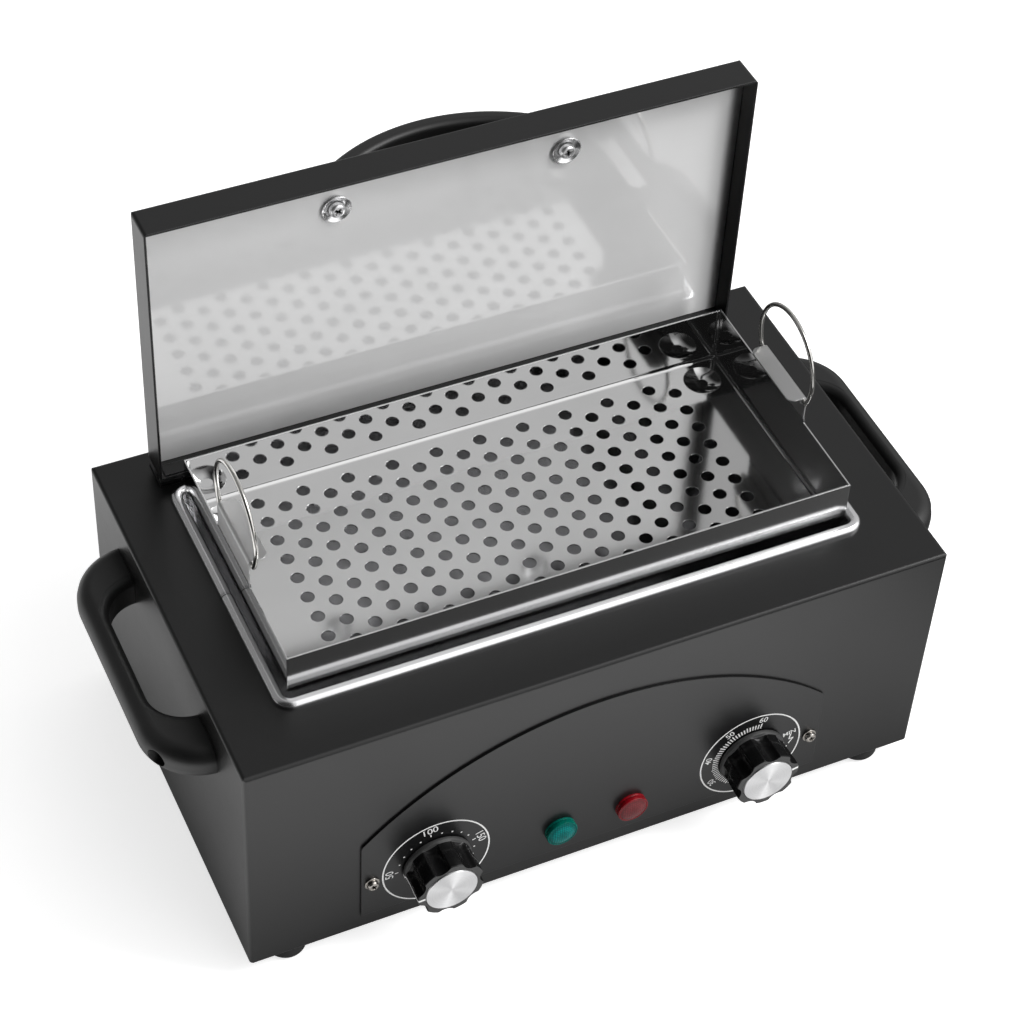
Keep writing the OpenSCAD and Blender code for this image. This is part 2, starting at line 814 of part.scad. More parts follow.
module lid_handle() {
  arch_z = lid_high + lid_handle_h - lid_arch_r;
  color(plastic_black) on_lid() difference() {
    intersection() {
      translate([0, lid_handle_y, arch_z]) rotate([90, 0, 0]) rotate_extrude($fn = 180)
        translate([lid_arch_r - lid_handle_t/2, 0])
          rounded_rect(lid_handle_t, lid_handle_w, lid_handle_round);
      translate([-lid_arch_r, lid_handle_y - lid_handle_w, lid_high])
        cube([2*lid_arch_r, 2*lid_handle_w, lid_arch_r]);
    }
    lid_screw_places() translate([0, 0, lid_high - 1]) cylinder(d = 4.04, h = 5.5);
  }
}

module lid_handle_screws() {
  color(steel) on_lid() lid_screw_places()
    translate([0, 0, liner_z - 1]) rotate([180, 0, 0])
      pan_screw(7, 2.6, 4, lid_high - liner_z + 4.8);
}

module lid_cup_washers() {
  color(steel) on_lid() lid_screw_places()
    translate([0, 0, liner_z]) rotate([180, 0, 0]) rotate_extrude()
      polygon([[2.15, 0], [4.8, 0], [washer_r, 1.5], [washer_r, 2], [washer_r - 0.5, 2],
        [5, 1], [2.15, 1]]);
}

function hole_y(col, row) =
  basket_y + (row - (hole_rows - 1)/2)*hole_dy + (col % 2 == 0 ? 1 : -1)*hole_dy/4;

module dimple_places() {
  for (x = [-dimple_x, dimple_x], y = [-dimple_y, dimple_y])
    translate([x, basket_y + y, floor_top]) children();
}

// Pressed foot, a shallow bowl with a flat middle
module dimple() {
  drop = dimple_bowl - sqrt(dimple_bowl*dimple_bowl - dimple_r*dimple_r);
  rotate_extrude() {
    intersection() {
      difference() {
        translate([0, dimple_bowl - drop]) circle(r = dimple_bowl + basket_t, $fn = 120);
        translate([0, dimple_bowl - drop]) circle(r = dimple_bowl, $fn = 120);
      }
      translate([dimple_flat, -dimple_depth - basket_t]) square([dimple_r - dimple_flat + 0.2, 3]);
    }
    translate([0, -dimple_depth - basket_t]) square([dimple_flat + 0.2, basket_t]);
  }
}

module basket_floor() {
  inner_w = basket_w - 2*basket_t;
  inner_d = basket_d - 2*basket_t;
  color(steel) {
    difference() {
      translate([-inner_w/2, basket_y - inner_d/2, basket_low]) cube([inner_w, inner_d, basket_t]);
      for (col = [0:hole_cols - 1], row = [0:hole_rows - 1])
        translate([(col - (hole_cols - 1)/2)*hole_dx, hole_y(col, row), basket_low - 1])
          cylinder(d = hole_d, h = 3, $fn = 32);
      dimple_places() translate([0, 0, -2]) cylinder(r = dimple_r, h = 4);
    }
    dimple_places() dimple();
  }
}

// Flap and curl on top of one end wall, drawn at the right-hand end
module end_tab() {
  translate([basket_w/2 - basket_t, basket_y, 0]) rotate([90, 0, 90]) linear_extrude(basket_t)
    polygon([[-tab_w/2 - 1.5, basket_top - 1], [tab_w/2 + 1.5, basket_top - 1],
      [tab_w/2, basket_top + 3], [tab_w/2, curl_z], [-tab_w/2, curl_z], [-tab_w/2, basket_top + 3]]);
  translate([curl_x, basket_y + tab_w/2, curl_z]) rotate([90, 0, 0]) cylinder(r = curl_out, h = tab_w);
  translate([curl_x, basket_y, curl_z + curl_in]) linear_extrude(basket_t) {
    translate([-flap_len + flap_r, -tab_w/2]) square([flap_len - flap_r, tab_w]);
    translate([-flap_len, -tab_w/2 + flap_r]) square([flap_len, tab_w - 2*flap_r]);
    for (s = [-1, 1])
      translate([-flap_len + flap_r, s*(tab_w/2 - flap_r)]) circle(r = flap_r);
  }
}

module basket_walls() {
  color(steel) difference() {
    union() {
      difference() {
        translate([-basket_w/2, basket_y - basket_d/2, basket_low])
          cube([basket_w, basket_d, basket_h]);
        translate([-basket_w/2 + basket_t, basket_y - basket_d/2 + basket_t, basket_low - 1])
          cube([basket_w - 2*basket_t, basket_d - 2*basket_t, basket_h + 2]);
      }
      end_tab();
      mirror([1, 0, 0]) end_tab();
    }
    for (s = [-1, 1])
      rod_y(s*curl_x, curl_z, 2*curl_in, basket_y - tab_w, basket_y + tab_w);
  }
}

// Wire ring, upright, its straight stretch lying in the curl
module wire_ring(x) {
  color(wire_steel) translate([x, basket_y, curl_z]) {
    rotate([90, 0, 0]) translate([0, 0, -chord]) cylinder(d = wire_d, h = 2*chord);
    for (s = [-1, 1])
      translate([0, s*chord, 0]) sphere(d = wire_d*1.03);
    translate([0, 0, ring_up]) rotate([90, 0, 90]) rotate(-ring_turn)
      rotate_extrude(angle = 180 + 2*ring_turn, $fn = 96) translate([ring_r, 0])
        circle(d = wire_d, $fn = 32);
  }
}

module ring_left() {
  wire_ring(-curl_x);
}

module ring_right() {
  wire_ring(curl_x);
}

// Fluted knob standing off the panel, its face towards the front
module knob(x, flute_turn) {
  depth = panel_face - knob_gap - knob_face - cap_proud;
  translate([x, panel_face - knob_gap, dial_z]) rotate([90, 0, 0]) difference() {
    union() {
      cylinder(d = knob_d, h = skirt_t);
      translate([0, 0, skirt_t - eps])
        cylinder(r1 = knob_base_r, r2 = knob_top_r, h = depth - skirt_t - knob_edge + eps);
      translate([0, 0, depth - knob_edge - eps])
        cylinder(r1 = knob_top_r, r2 = knob_top_r - knob_edge, h = knob_edge + eps);
    }
    for (i = [0:flutes - 1])
      rotate(i*360/flutes + flute_turn) translate([flute_at, 0, skirt_t + 0.6]) {
        cylinder(r1 = flute_r - 2.2, r2 = flute_r, h = 2.4);
        translate([0, 0, 2.39]) cylinder(r = flute_r, h = depth);
      }
    translate([0, 0, -1]) cylinder(d = shaft_d, h = 11);
    translate([0, 0, depth - cap_t]) cylinder(r = cap_r + 0.05, h = 3);
  }
}

module cap(x) {
  rod_y(x, dial_z, 2*cap_r, knob_face, knob_face + cap_proud + cap_t);
}

module shaft(x) {
  start = panel_face - knob_gap - 9.5;
  difference() {
    rod_y(x, dial_z, shaft_d, start, front_y + 15);
    translate([x - 4, start - 1, dial_z + 2]) cube([8, 9, 3]);
  }
}

module thermostat_knob() {
  color(plastic_black) knob(panel_x - dial_x, stat_turn);
}

module thermostat_cap() {
  color(steel) cap(panel_x - dial_x);
}

module thermostat_shaft() {
  color(zinc) shaft(panel_x - dial_x);
}

module timer_knob() {
  color(plastic_black) knob(panel_x + dial_x, timer_turn);
}

module timer_cap() {
  color(steel) cap(panel_x + dial_x);
}

module timer_shaft() {
  color(zinc) shaft(panel_x + dial_x);
}

module power_inlet() {
  color(plastic_black) difference() {
    union() {
      translate([inlet_x - inlet_w/2, back_y - 16, inlet_z - inlet_h/2])
        cube([inlet_w, 17, inlet_h]);
      translate([inlet_x, back_y, inlet_z]) rotate([-90, 0, 0]) linear_extrude(2.5)
        rounded_rect(50, 23, 5);
    }
    translate([inlet_x - 12, back_y - 13, inlet_z - 8]) cube([24, 17, 16]);
    for (x = [-inlet_screw_x, inlet_screw_x])
      rod_y(inlet_x + x, inlet_z, 3.3, back_y - 1, back_y + 4);
    for (p = inlet_pin_places())
      translate([inlet_x + p[0] - 1, back_y - 17, inlet_z + p[1] - 2]) cube([2, 5, 4]);
  }
}

function inlet_pin_places() = [[-7, -2], [7, -2], [0, 3]];

module inlet_pins() {
  color(zinc) for (p = inlet_pin_places())
    translate([inlet_x + p[0] - 1, back_y - 22, inlet_z + p[1] - 2]) cube([2, 21, 4]);
}

module inlet_screws() {
  color(zinc) for (x = [-inlet_screw_x, inlet_screw_x])
    translate([inlet_x + x, back_y + 2.5, inlet_z]) rotate([-90, 0, 0]) pan_screw(5.6, 2, 3, 9);
}

// Internal leads between the inlet, timer, thermostat, cut-out and heater
module wiring() {
  timer_x = panel_x + dial_x;
  timer_y = front_y + sheet + 34;
  stat_x = panel_x - dial_x;
  stat_y = front_y + sheet + 27;
  pin_y = back_y - 22;
  tab_z = tub_low - 16;
  cut_z = tub_low - heater_t - clamp_t - 17;
  color([0.45, 0.2, 0.1])
    bent_tube([[inlet_x - 7, pin_y, inlet_z - 2], [inlet_x - 7, pin_y - 4, inlet_z - 2],
      [inlet_x - 7, pin_y - 16, 20], [inlet_x - 7, -20, 20],
      [timer_x + 10, timer_y + 10, dial_z - 5], [timer_x + 10, timer_y, dial_z - 5]],
      lead_d, lead_sides);
  color([0.1, 0.25, 0.6])
    bent_tube([[inlet_x + 7, pin_y, inlet_z - 2], [inlet_x + 7, 62, inlet_z - 2],
      [inlet_x + 7, 62, 16], [8, 62, 16], [8, 0, 16], [8, 0, tab_z]], lead_d, lead_sides);
  color([0.75, 0.7, 0.6]) {
    bent_tube([[timer_x - 10, timer_y, dial_z - 5], [timer_x - 10, timer_y + 10, dial_z - 5],
      [timer_x - 10, timer_y + 10, 24], [stat_x + 5, timer_y + 10, 24],
      [stat_x + 5, timer_y + 10, dial_z - 6], [stat_x + 5, stat_y, dial_z - 6]], lead_d, lead_sides);
    bent_tube([[stat_x - 5, stat_y, dial_z - 6], [stat_x - 5, -36, dial_z - 6],
      [cutout_x - 4, -36, dial_z - 6], [cutout_x - 4, 0, dial_z - 6],
      [cutout_x - 4, 0, cut_z]], lead_d, lead_sides);
    bent_tube([[cutout_x + 4, 0, cut_z], [cutout_x + 4, 0, 38], [cutout_x + 4, 14, 38],
      [-8, 14, 38], [-8, 0, 38], [-8, 0, tab_z]], lead_d, lead_sides);
  }
  color([0.3, 0.55, 0.15])
    bent_tube([[inlet_x, pin_y, inlet_z + 3], [inlet_x, 50, inlet_z + 3], [inlet_x, 50, 24],
      [stud_x, 50, 24], [stud_x, stud_y, 24], [stud_x, stud_y, z_case + 8.5]], lead_d, lead_sides);
}

module earth_stud() {
  color(zinc) translate([stud_x, stud_y, z_case - 1.5]) {
    cylinder(d = 4.2, h = 10);
    cylinder(d = 7, h = 1.5);
    translate([0, 0, sheet + 1.5]) hex_nut(nut_af, nut_h, 4.1);
  }
}

case_shell();
base_plate();
base_screws();
feet();
foot_screws();
foot_nuts();
control_panel();
panel_screws();
panel_washers();
chamber_tub();
chamber_rim();
chamber_insulation();
heater_plate();
heater_clamp();
heater_nuts();
thermal_cutout();
thermostat_body();
thermostat_bulb();
timer_body();
control_screws();
green_lens();
red_lens();
lamp_holders();
side_handle_left();
side_handle_right();
handle_screws();
handle_nuts();
hinge_bases();
hinge_base_screws();
hinge_pins();
power_inlet();
inlet_pins();
inlet_screws();
wiring();
earth_stud();
lid_cover();
lid_liner();
lid_insulation();
lid_hinge_leaves();
lid_hinge_strips();
lid_handle();
lid_handle_screws();
lid_cup_washers();
basket_floor();
basket_walls();
ring_left();
ring_right();
thermostat_knob();
thermostat_cap();
thermostat_shaft();
timer_knob();
timer_cap();
timer_shaft();
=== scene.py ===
import math

import bmesh
import bpy
from mathutils import Matrix, Vector, noise


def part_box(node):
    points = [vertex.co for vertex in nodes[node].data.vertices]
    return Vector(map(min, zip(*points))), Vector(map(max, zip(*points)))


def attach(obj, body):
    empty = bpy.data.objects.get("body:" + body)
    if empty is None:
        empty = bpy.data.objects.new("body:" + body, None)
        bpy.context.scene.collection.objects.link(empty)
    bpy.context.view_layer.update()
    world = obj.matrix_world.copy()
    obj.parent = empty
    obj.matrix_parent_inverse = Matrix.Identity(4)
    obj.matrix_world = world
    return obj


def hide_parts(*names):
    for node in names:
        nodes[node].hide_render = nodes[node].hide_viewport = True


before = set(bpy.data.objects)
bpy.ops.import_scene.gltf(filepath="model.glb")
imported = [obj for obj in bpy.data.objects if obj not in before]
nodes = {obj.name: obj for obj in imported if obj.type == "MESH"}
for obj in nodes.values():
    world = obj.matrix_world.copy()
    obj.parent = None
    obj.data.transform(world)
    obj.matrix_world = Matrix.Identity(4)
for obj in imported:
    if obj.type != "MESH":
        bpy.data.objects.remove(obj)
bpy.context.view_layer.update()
MM = 0.001

# Camera
# It stands in front of the left corner and looks down through a long lens, as the photographer did.
# Its three axes were solved from the straight edges of the case.
camera_at = (-0.374, -0.730, 0.986)
sight_right = Vector((0.90955, -0.41341, 0.04259))
sight_up = Vector((0.2719, 0.6695, 0.6913))
sight_back = Vector((-0.31430, -0.61719, 0.72131))
camera_data = bpy.data.cameras.new("camera")
camera_data.sensor_width = 36
camera_data.lens = 97.05
camera_data.clip_start = 0.05
camera_data.clip_end = 20
camera = bpy.data.objects.new("camera", camera_data)
turned = Matrix((sight_right, sight_up, sight_back)).transposed().to_4x4()
camera.matrix_world = Matrix.Translation(camera_at) @ turned
bpy.context.scene.collection.objects.link(camera)
bpy.context.scene.camera = camera


# Painted case, its base, hinge halves and lid
# Folded 1 mm steel sheet with a black satin powder coat. The base is screwed on from below, and
# the lid hangs on two hinges. The coat has a fine grain, and its folded edges are painted lighter:
# partly wear, partly a painted highlight.
class Wire:
    """One output of a material's nodes. Arithmetic on it adds Math nodes."""

    def __init__(self, finish, socket):
        self.finish = finish
        self.socket = socket

    def calculate(self, operation, *values):
        return self.finish.add("ShaderNodeMath", {"operation": operation}, values)

    def __add__(self, other):
        return self.calculate("ADD", self, other)

    __radd__ = __add__

    def __mul__(self, other):
        return self.calculate("MULTIPLY", self, other)

    __rmul__ = __mul__

    def __sub__(self, other):
        return self.calculate("SUBTRACT", self, other)

    def __rsub__(self, other):
        return self.calculate("SUBTRACT", other, self)


class Finish:
    """A material with one Principled shader. Fixed values sit on the shader's own sockets."""

    def __init__(self, name, fixed):
        self.material = bpy.data.materials.new(name)
        self.material.use_nodes = True
        self.tree = self.material.node_tree
        self.shader = self.tree.nodes["Principled BSDF"]
        for socket, value in fixed.items():
            self.shader.inputs[socket].default_value = value
        self.place = self.add("ShaderNodeTexCoord", output="Object")

    def add(self, kind, settings=None, values=(), output=0):
        node = self.tree.nodes.new(kind)
        for key, value in (settings or {}).items():
            setattr(node, key, value)
        for key, value in values.items() if isinstance(values, dict) else enumerate(values):
            if isinstance(value, Wire):
                self.tree.links.new(value.socket, node.inputs[key])
            else:
                node.inputs[key].default_value = value
        return Wire(self, node.outputs[output])

    def feed(self, socket, wire):
        self.tree.links.new(wire.socket, self.shader.inputs[socket])

    def stretched(self, x, y, z):
        """The place on the piece, with each axis scaled by so many steps a metre."""
        return self.add("ShaderNodeMapping", values={"Vector": self.place, "Scale": (x, y, z)})

    def grain(self, size, detail=3.0, stretch=(1, 1, 1), roughness=0.55):
        """Noise from 0 to 1, its spots size millimetres across."""
        step = [1 / (size * MM * s) for s in stretch]
        return self.add(
            "ShaderNodeTexNoise",
            {"noise_dimensions": "3D"},
            {"Vector": self.stretched(*step), "Scale": 1.0, "Detail": detail, "Roughness": roughness},
            "Fac",
        )

    def between(self, share, first, second):
        """A colour that goes from first to second as share goes from 0 to 1."""
        values = {0: share, 6: first, 7: second}
        return self.add("ShaderNodeMix", {"data_type": "RGBA"}, values, 2)

    def ranged(self, wire, low, high, out_low, out_high):
        values = (wire, low, high, out_low, out_high)
        return self.add("ShaderNodeMapRange", {"clamp": True}, values)

    def bump(self, height, distance, under=None):
        values = {"Height": height, "Distance": distance * MM, "Strength": 1.0}
        if under:
            values["Normal"] = under
        return self.add("ShaderNodeBump", values=values)

    def rounded(self, radius):
        """Normal of the face with its sharp edges rounded off, radius in millimetres."""
        return self.add("ShaderNodeBevel", {"samples": 4}, {"Radius": radius * MM})

    def edge_wear(self, rounded):
        """1 on sharp edges, 0 on flat faces."""
        flat = self.add("ShaderNodeNewGeometry", output="Normal")
        along = self.add("ShaderNodeVectorMath", {"operation": "DOT_PRODUCT"}, (rounded, flat), "Value")
        return self.ranged(along, 0.99, 0.90, 0, 1)


def wear(finish, *names):
    """The finish goes on these carried-over CAD nodes."""
    for name in names:
        piece = nodes[name]
        piece.data.materials.clear()
        piece.data.materials.append(finish.material)


def powder_coat(name, grey, rough, grain_depth):
    """Satin black with broad clouds, dust specks and paler edges, partly wear and partly a painted
    highlight; grey is its mean shade.
    """
    coat = Finish(name, {"Metallic": 0.0, "IOR": 1.47})
    fine = coat.grain(0.7, 3)
    broad = coat.grain(38, 4)
    dust = coat.ranged(coat.grain(2.1, 6, roughness=0.75), 0.66, 0.82, 0, 1)
    base = coat.between(broad, (grey * 0.85,) * 3 + (1,), (grey * 1.15, grey * 1.15, grey * 1.2, 1))
    edge = coat.rounded(0.7)
    # Sharp edges are painted paler: partly wear, partly a painted highlight.
    edge_tinted = coat.between(coat.edge_wear(edge) * (0.2 + 0.5 * broad), base, (0.09, 0.09, 0.095, 1))
    coat.feed("Base Color", coat.between(dust * 0.25, edge_tinted, (0.030, 0.030, 0.032, 1)))
    coat.feed("Roughness", rough + 0.07 * broad + 0.05 * fine - 0.06)
    coat.feed("Normal", coat.bump(fine + 0.3 * coat.grain(9, 2), grain_depth, under=edge))
    return coat


case_paint = powder_coat("case_paint", 0.0045, 0.34, 0.012)
wear(case_paint, "case_shell", "lid_cover", "hinge_bases", "lid_hinge_leaves", "lid_hinge_strips")
base_paint = powder_coat("base_paint", 0.006, 0.45, 0.02)
wear(base_paint, "base_plate")


# Front plate
# A 1 mm plate with an arched top, painted matt black and printed in white; two screws hold it.
# Its face is brushed before painting, so faint level lines show through.
plate_paint = Finish("plate_paint", {"Metallic": 0.0, "IOR": 1.45})
brushed = plate_paint.grain(0.5, 3, (60, 1, 0.8))
blotch = plate_paint.grain(26, 4)
dark_paint = plate_paint.between(blotch, (0.005, 0.005, 0.005, 1), (0.009, 0.009, 0.0095, 1))
plate_paint.feed("Base Color", dark_paint)
plate_paint.feed("Roughness", 0.26 + 0.07 * blotch + 0.05 * brushed)
relief = brushed + 0.5 * plate_paint.grain(0.6, 2)
plate_paint.feed("Normal", plate_paint.bump(relief, 0.012, under=plate_paint.rounded(0.3)))
wear(plate_paint, "control_panel")


# Printed scales
# White screen print on the front plate: a ring round each knob, a temperature scale on the left
# and a minute scale on the right, both read clockwise.
def keep(name, shape, finish, body, replaced=(), smooth=True, sharp=32):
    """Makes a piece, gives it its finish and puts it on its body."""
    mesh = bpy.data.meshes.new(name)
    shape.to_mesh(mesh)
    shape.free()
    for polygon in mesh.polygons:
        polygon.use_smooth = smooth
    if smooth:
        mesh.set_sharp_from_angle(angle=math.radians(sharp))
    piece = bpy.data.objects.new(name, mesh)
    bpy.context.scene.collection.objects.link(piece)
    mesh.materials.append(finish.material)
    if replaced:
        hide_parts(*replaced)
    if body:
        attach(piece, body)
    return piece


def middle_of(name):
    """Middle of a node's box, in millimetres."""
    low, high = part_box(name)
    return [(a + b) / 2 / MM for a, b in zip(low, high)]


PRINT_RISE = 0.05
CAPITAL_SHARE = 0.72
plate_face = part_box("control_panel")[0].y / MM
dial_z = middle_of("thermostat_cap")[2]
dial_x = {dial: middle_of(dial + "_cap")[0] for dial in ("thermostat", "timer")}


class Print:
    """Flat white shapes on the front plate round one dial; angles count from the right, upwards."""

    def __init__(self, dial):
        self.mesh = bmesh.new()
        self.x = dial_x[dial]

    def spot(self, u, v):
        place = Vector((self.x + u, plate_face - PRINT_RISE, dial_z + v)) * MM
        return self.mesh.verts.new(place)

    def at(self, radius, angle):
        return self.spot(radius * math.cos(math.radians(angle)), radius * math.sin(math.radians(angle)))

    def band(self, inner, outer, start, end, steps):
        turns = [start + (end - start) * i / steps for i in range(steps + 1)]
        pairs = [(self.at(inner, a), self.at(outer, a)) for a in turns]
        for (a, b), (c, d) in zip(pairs, pairs[1:]):
            self.mesh.faces.new((a, b, d, c))

    def tick(self, inner, outer, angle, width):
        lean = math.degrees(width / 2 / ((inner + outer) / 2))
        self.band(inner, outer, angle - lean, angle + lean, 1)

    def line(self, start, end, width):
        """Straight stroke between two places right of and above the dial's middle."""
        along = (Vector(end) - Vector(start)).normalized()
        half = Vector((-along.y, along.x)) * width / 2
        corners = (Vector(start) - half, Vector(end) - half, Vector(end) + half, Vector(start) + half)
        self.mesh.faces.new([self.spot(corner.x, corner.y) for corner in corners])

    def dot(self, radius, angle, size):
        u = radius * math.cos(math.radians(angle))
        v = radius * math.sin(math.radians(angle))
        half = size / 2
        sides = 14
        turns = [i * math.tau / sides for i in range(sides)]
        self.mesh.faces.new([self.spot(u + half * math.cos(a), v + half * math.sin(a)) for a in turns])

    def word(self, body, radius, angle, height, lean=0.0, weight=0.0):
        """Text with its foot towards the knob."""
        curve = bpy.data.curves.new("word", "FONT")
        curve.body = body
        curve.size = height / CAPITAL_SHARE
        curve.align_x = "CENTER"
        curve.align_y = "CENTER"
        curve.space_character = 0.98
        curve.offset = weight
        curve.resolution_u = 4
        holder = bpy.data.objects.new("word", curve)
        bpy.context.scene.collection.objects.link(holder)
        bpy.context.view_layer.update()
        drawn = bpy.data.meshes.new_from_object(holder)
        bpy.data.objects.remove(holder)
        turn = math.radians(angle - 90 + lean)
        cu = radius * math.cos(math.radians(angle))
        cv = radius * math.sin(math.radians(angle))
        spots = []
        for vertex in drawn.vertices:
            u = vertex.co.x * math.cos(turn) - vertex.co.y * math.sin(turn)
            v = vertex.co.x * math.sin(turn) + vertex.co.y * math.cos(turn)
            spots.append(self.spot(cu + u, cv + v))
        for polygon in drawn.polygons:
            self.mesh.faces.new([spots[i] for i in polygon.vertices])
        bpy.data.meshes.remove(drawn)

    def finished(self):
        """Faces all look to the front."""
        self.mesh.normal_update()
        for face in self.mesh.faces:
            if face.normal.y > 0:
                face.normal_flip()
        return self.mesh


# The print carries a faint white emission: painted light that makes it read brighter.
print_glow = {"Emission Color": (1, 1, 1, 1), "Emission Strength": 0.08}
white_print = Finish("white_print", {"Metallic": 0.0, "IOR": 1.5, **print_glow})
ink = white_print.grain(0.35, 3)
white_print.feed("Base Color", white_print.between(ink, (0.80, 0.80, 0.79, 1), (0.96, 0.96, 0.95, 1)))
white_print.feed("Roughness", 0.42 + 0.15 * ink)
white_print.feed("Normal", white_print.bump(ink, 0.01))

RING_R = 24.5
RING_LINE = 0.7
BOLD = 0.02
scale = Print("thermostat")
scale.band(RING_R - RING_LINE / 2, RING_R + RING_LINE / 2, 0, 360, 128)
LOWEST = 50
TEN_DEGREES = 16.2
for step in range(16):
    turn = 180 - TEN_DEGREES * step
    if step % 5 == 0:
        scale.tick(17.4, 19.0, turn, 0.55)
        scale.word(str(LOWEST + 10 * step), 21.3, turn, 3.8, weight=BOLD)
    else:
        scale.dot(17.6, turn, 0.85)
keep("thermostat_scale", scale.finished(), white_print, "body", smooth=False)

scale = Print("timer")
scale.band(RING_R - RING_LINE / 2, RING_R + RING_LINE / 2, 0, 360, 128)
TIMER_ZERO = -11.3
MINUTE = 4.5
TICK_FOOT = 16.0
TICK_LONG = 19.2
TICK_SHORT = 18.8
for minute in range(5, 61):
    turn = TIMER_ZERO - MINUTE * minute
    scale.tick(TICK_FOOT, TICK_LONG if minute % 5 == 0 else TICK_SHORT, turn, 0.62)
    if minute % 10 == 0:
        scale.word(str(minute), 21.4, turn, 3.2, weight=BOLD)
scale.word("MIN", 19.7, 15.5, 2.7, lean=86, weight=BOLD)
scale.tick(TICK_FOOT, TICK_LONG, TIMER_ZERO, 0.7)
# A jagged arrow points from the word towards zero.
jagged = ((19.9, 4.3), (19.2, 0.9), (21.5, 1.4), (19.3, -2.0))
for start, end in zip(jagged, jagged[1:]):
    scale.line(start, end, 0.6)
keep("timer_scale", scale.finished(), white_print, "body", smooth=False)


# Knobs
# Moulded glossy black phenolic with a skirt and seven finger flutes, pushed on a shaft. The face
# and the skirt are duller than the sides and painted a paler black as a painted sheen, and a white
# line runs from the cap down to the skirt.
KNOB_FLUTES = 7
FLUTE_R = 5.0
FLUTE_AT = 18.0
KNOB_STEPS = 36 * KNOB_FLUTES
SKIRT_TOP = 3.2
FACE_AT = 16.44
# Depth from the front plate, radius, and how far the flutes cut in there.
KNOB_PROFILE = (
    (0.6, 9.0, 0), (0.6, 15.3, 0), (0.75, 15.5, 0), (2.3, 15.5, 0), (2.5, 15.35, 0),
    (2.62, 15.15, 0.15), (3.0, 15.0, 0.45), (3.6, 14.97, 0.75), (4.6, 14.94, 0.95),
    (6.0, 14.95, 1), (11.0, 15.1, 1), (15.8, 15.2, 1), (16.2, 15.12, 1), (16.42, 14.95, 1),
    (16.5, 14.7, 1), (16.5, 14.3, 0.95), (16.5, 11.95, 0), (16.3, 11.85, 0), (15.6, 11.8, 0),
)
# Depth and radius of the white line.
LINE_PROFILE = (
    (0.9, 15.55), (2.35, 15.55), (2.56, 15.3), (2.75, 15.08), (6.0, 15.0), (11.0, 15.15),
    (15.8, 15.25), (16.22, 15.17), (16.46, 14.98), (16.54, 14.7), (16.54, 12.0),
)
LINE_HALF = 0.62
pointer_turn = {"thermostat": 184.8, "timer": 9.2}
shine = {"Metallic": 0.0, "IOR": 1.25, "Coat Weight": 0.04, "Coat Roughness": 0.05}
knob_black = Finish("knob_black", shine)
swirl = knob_black.grain(5, 3)
rub = knob_black.grain(0.6, 4)
swirled = knob_black.between(swirl, (0.004, 0.004, 0.004, 1), (0.009, 0.009, 0.0095, 1))
knob_black.feed("Base Color", swirled)
knob_black.feed("Roughness", 0.10 + 0.06 * swirl + 0.04 * rub)
knob_black.feed("Normal", knob_black.bump(rub + swirl, 0.003))
# The skirt and the face take this duller finish, whose paler black is a painted sheen.
knob_dull_sheen = Finish("knob_dull_sheen", {"Metallic": 0.0, "IOR": 1.5})
lapping = knob_dull_sheen.grain(0.3, 4)
pale_sheen = knob_dull_sheen.between(lapping, (0.030, 0.030, 0.030, 1), (0.050, 0.050, 0.050, 1))
knob_dull_sheen.feed("Base Color", pale_sheen)
knob_dull_sheen.feed("Roughness", 0.40 + 0.15 * lapping)
knob_dull_sheen.feed("Normal", knob_dull_sheen.bump(lapping, 0.015))


def fluted(radius, share, angle):
    """Radius of the knob at an angle from a flute's middle, the flutes cut in by that share."""
    turn = math.radians(angle)
    reach = FLUTE_AT * math.sin(turn)
    if abs(reach) >= FLUTE_R or math.cos(turn) < 0:
        return radius
    flute = FLUTE_AT * math.cos(turn) - math.sqrt(FLUTE_R**2 - reach**2)
    blend = 0.45
    gap = max(0.0, min(1.0, 0.5 + 0.5 * (radius - flute) / blend))
    rounded = radius * (1 - gap) + flute * gap - blend * gap * (1 - gap)
    return radius + (min(rounded, radius) - radius) * share


def ring_shell(rings, centre, steps):
    """Mesh from rings of (depth, radius function), depths measured from the plate to the front."""
    shell = bmesh.new()
    rows = []
    for depth, radius in rings:
        row = []
        for i in range(steps):
            turn = math.tau * i / steps
            r = radius(turn)
            place = (centre[0] + r * math.cos(turn), centre[1] - depth, centre[2] + r * math.sin(turn))
            row.append(shell.verts.new(Vector(place) * MM))
        rows.append(row)
    for low, high in zip(rows, rows[1:]):
        for i in range(steps):
            j = (i + 1) % steps
            shell.faces.new((low[i], low[j], high[j], high[i]))
    return shell, rows


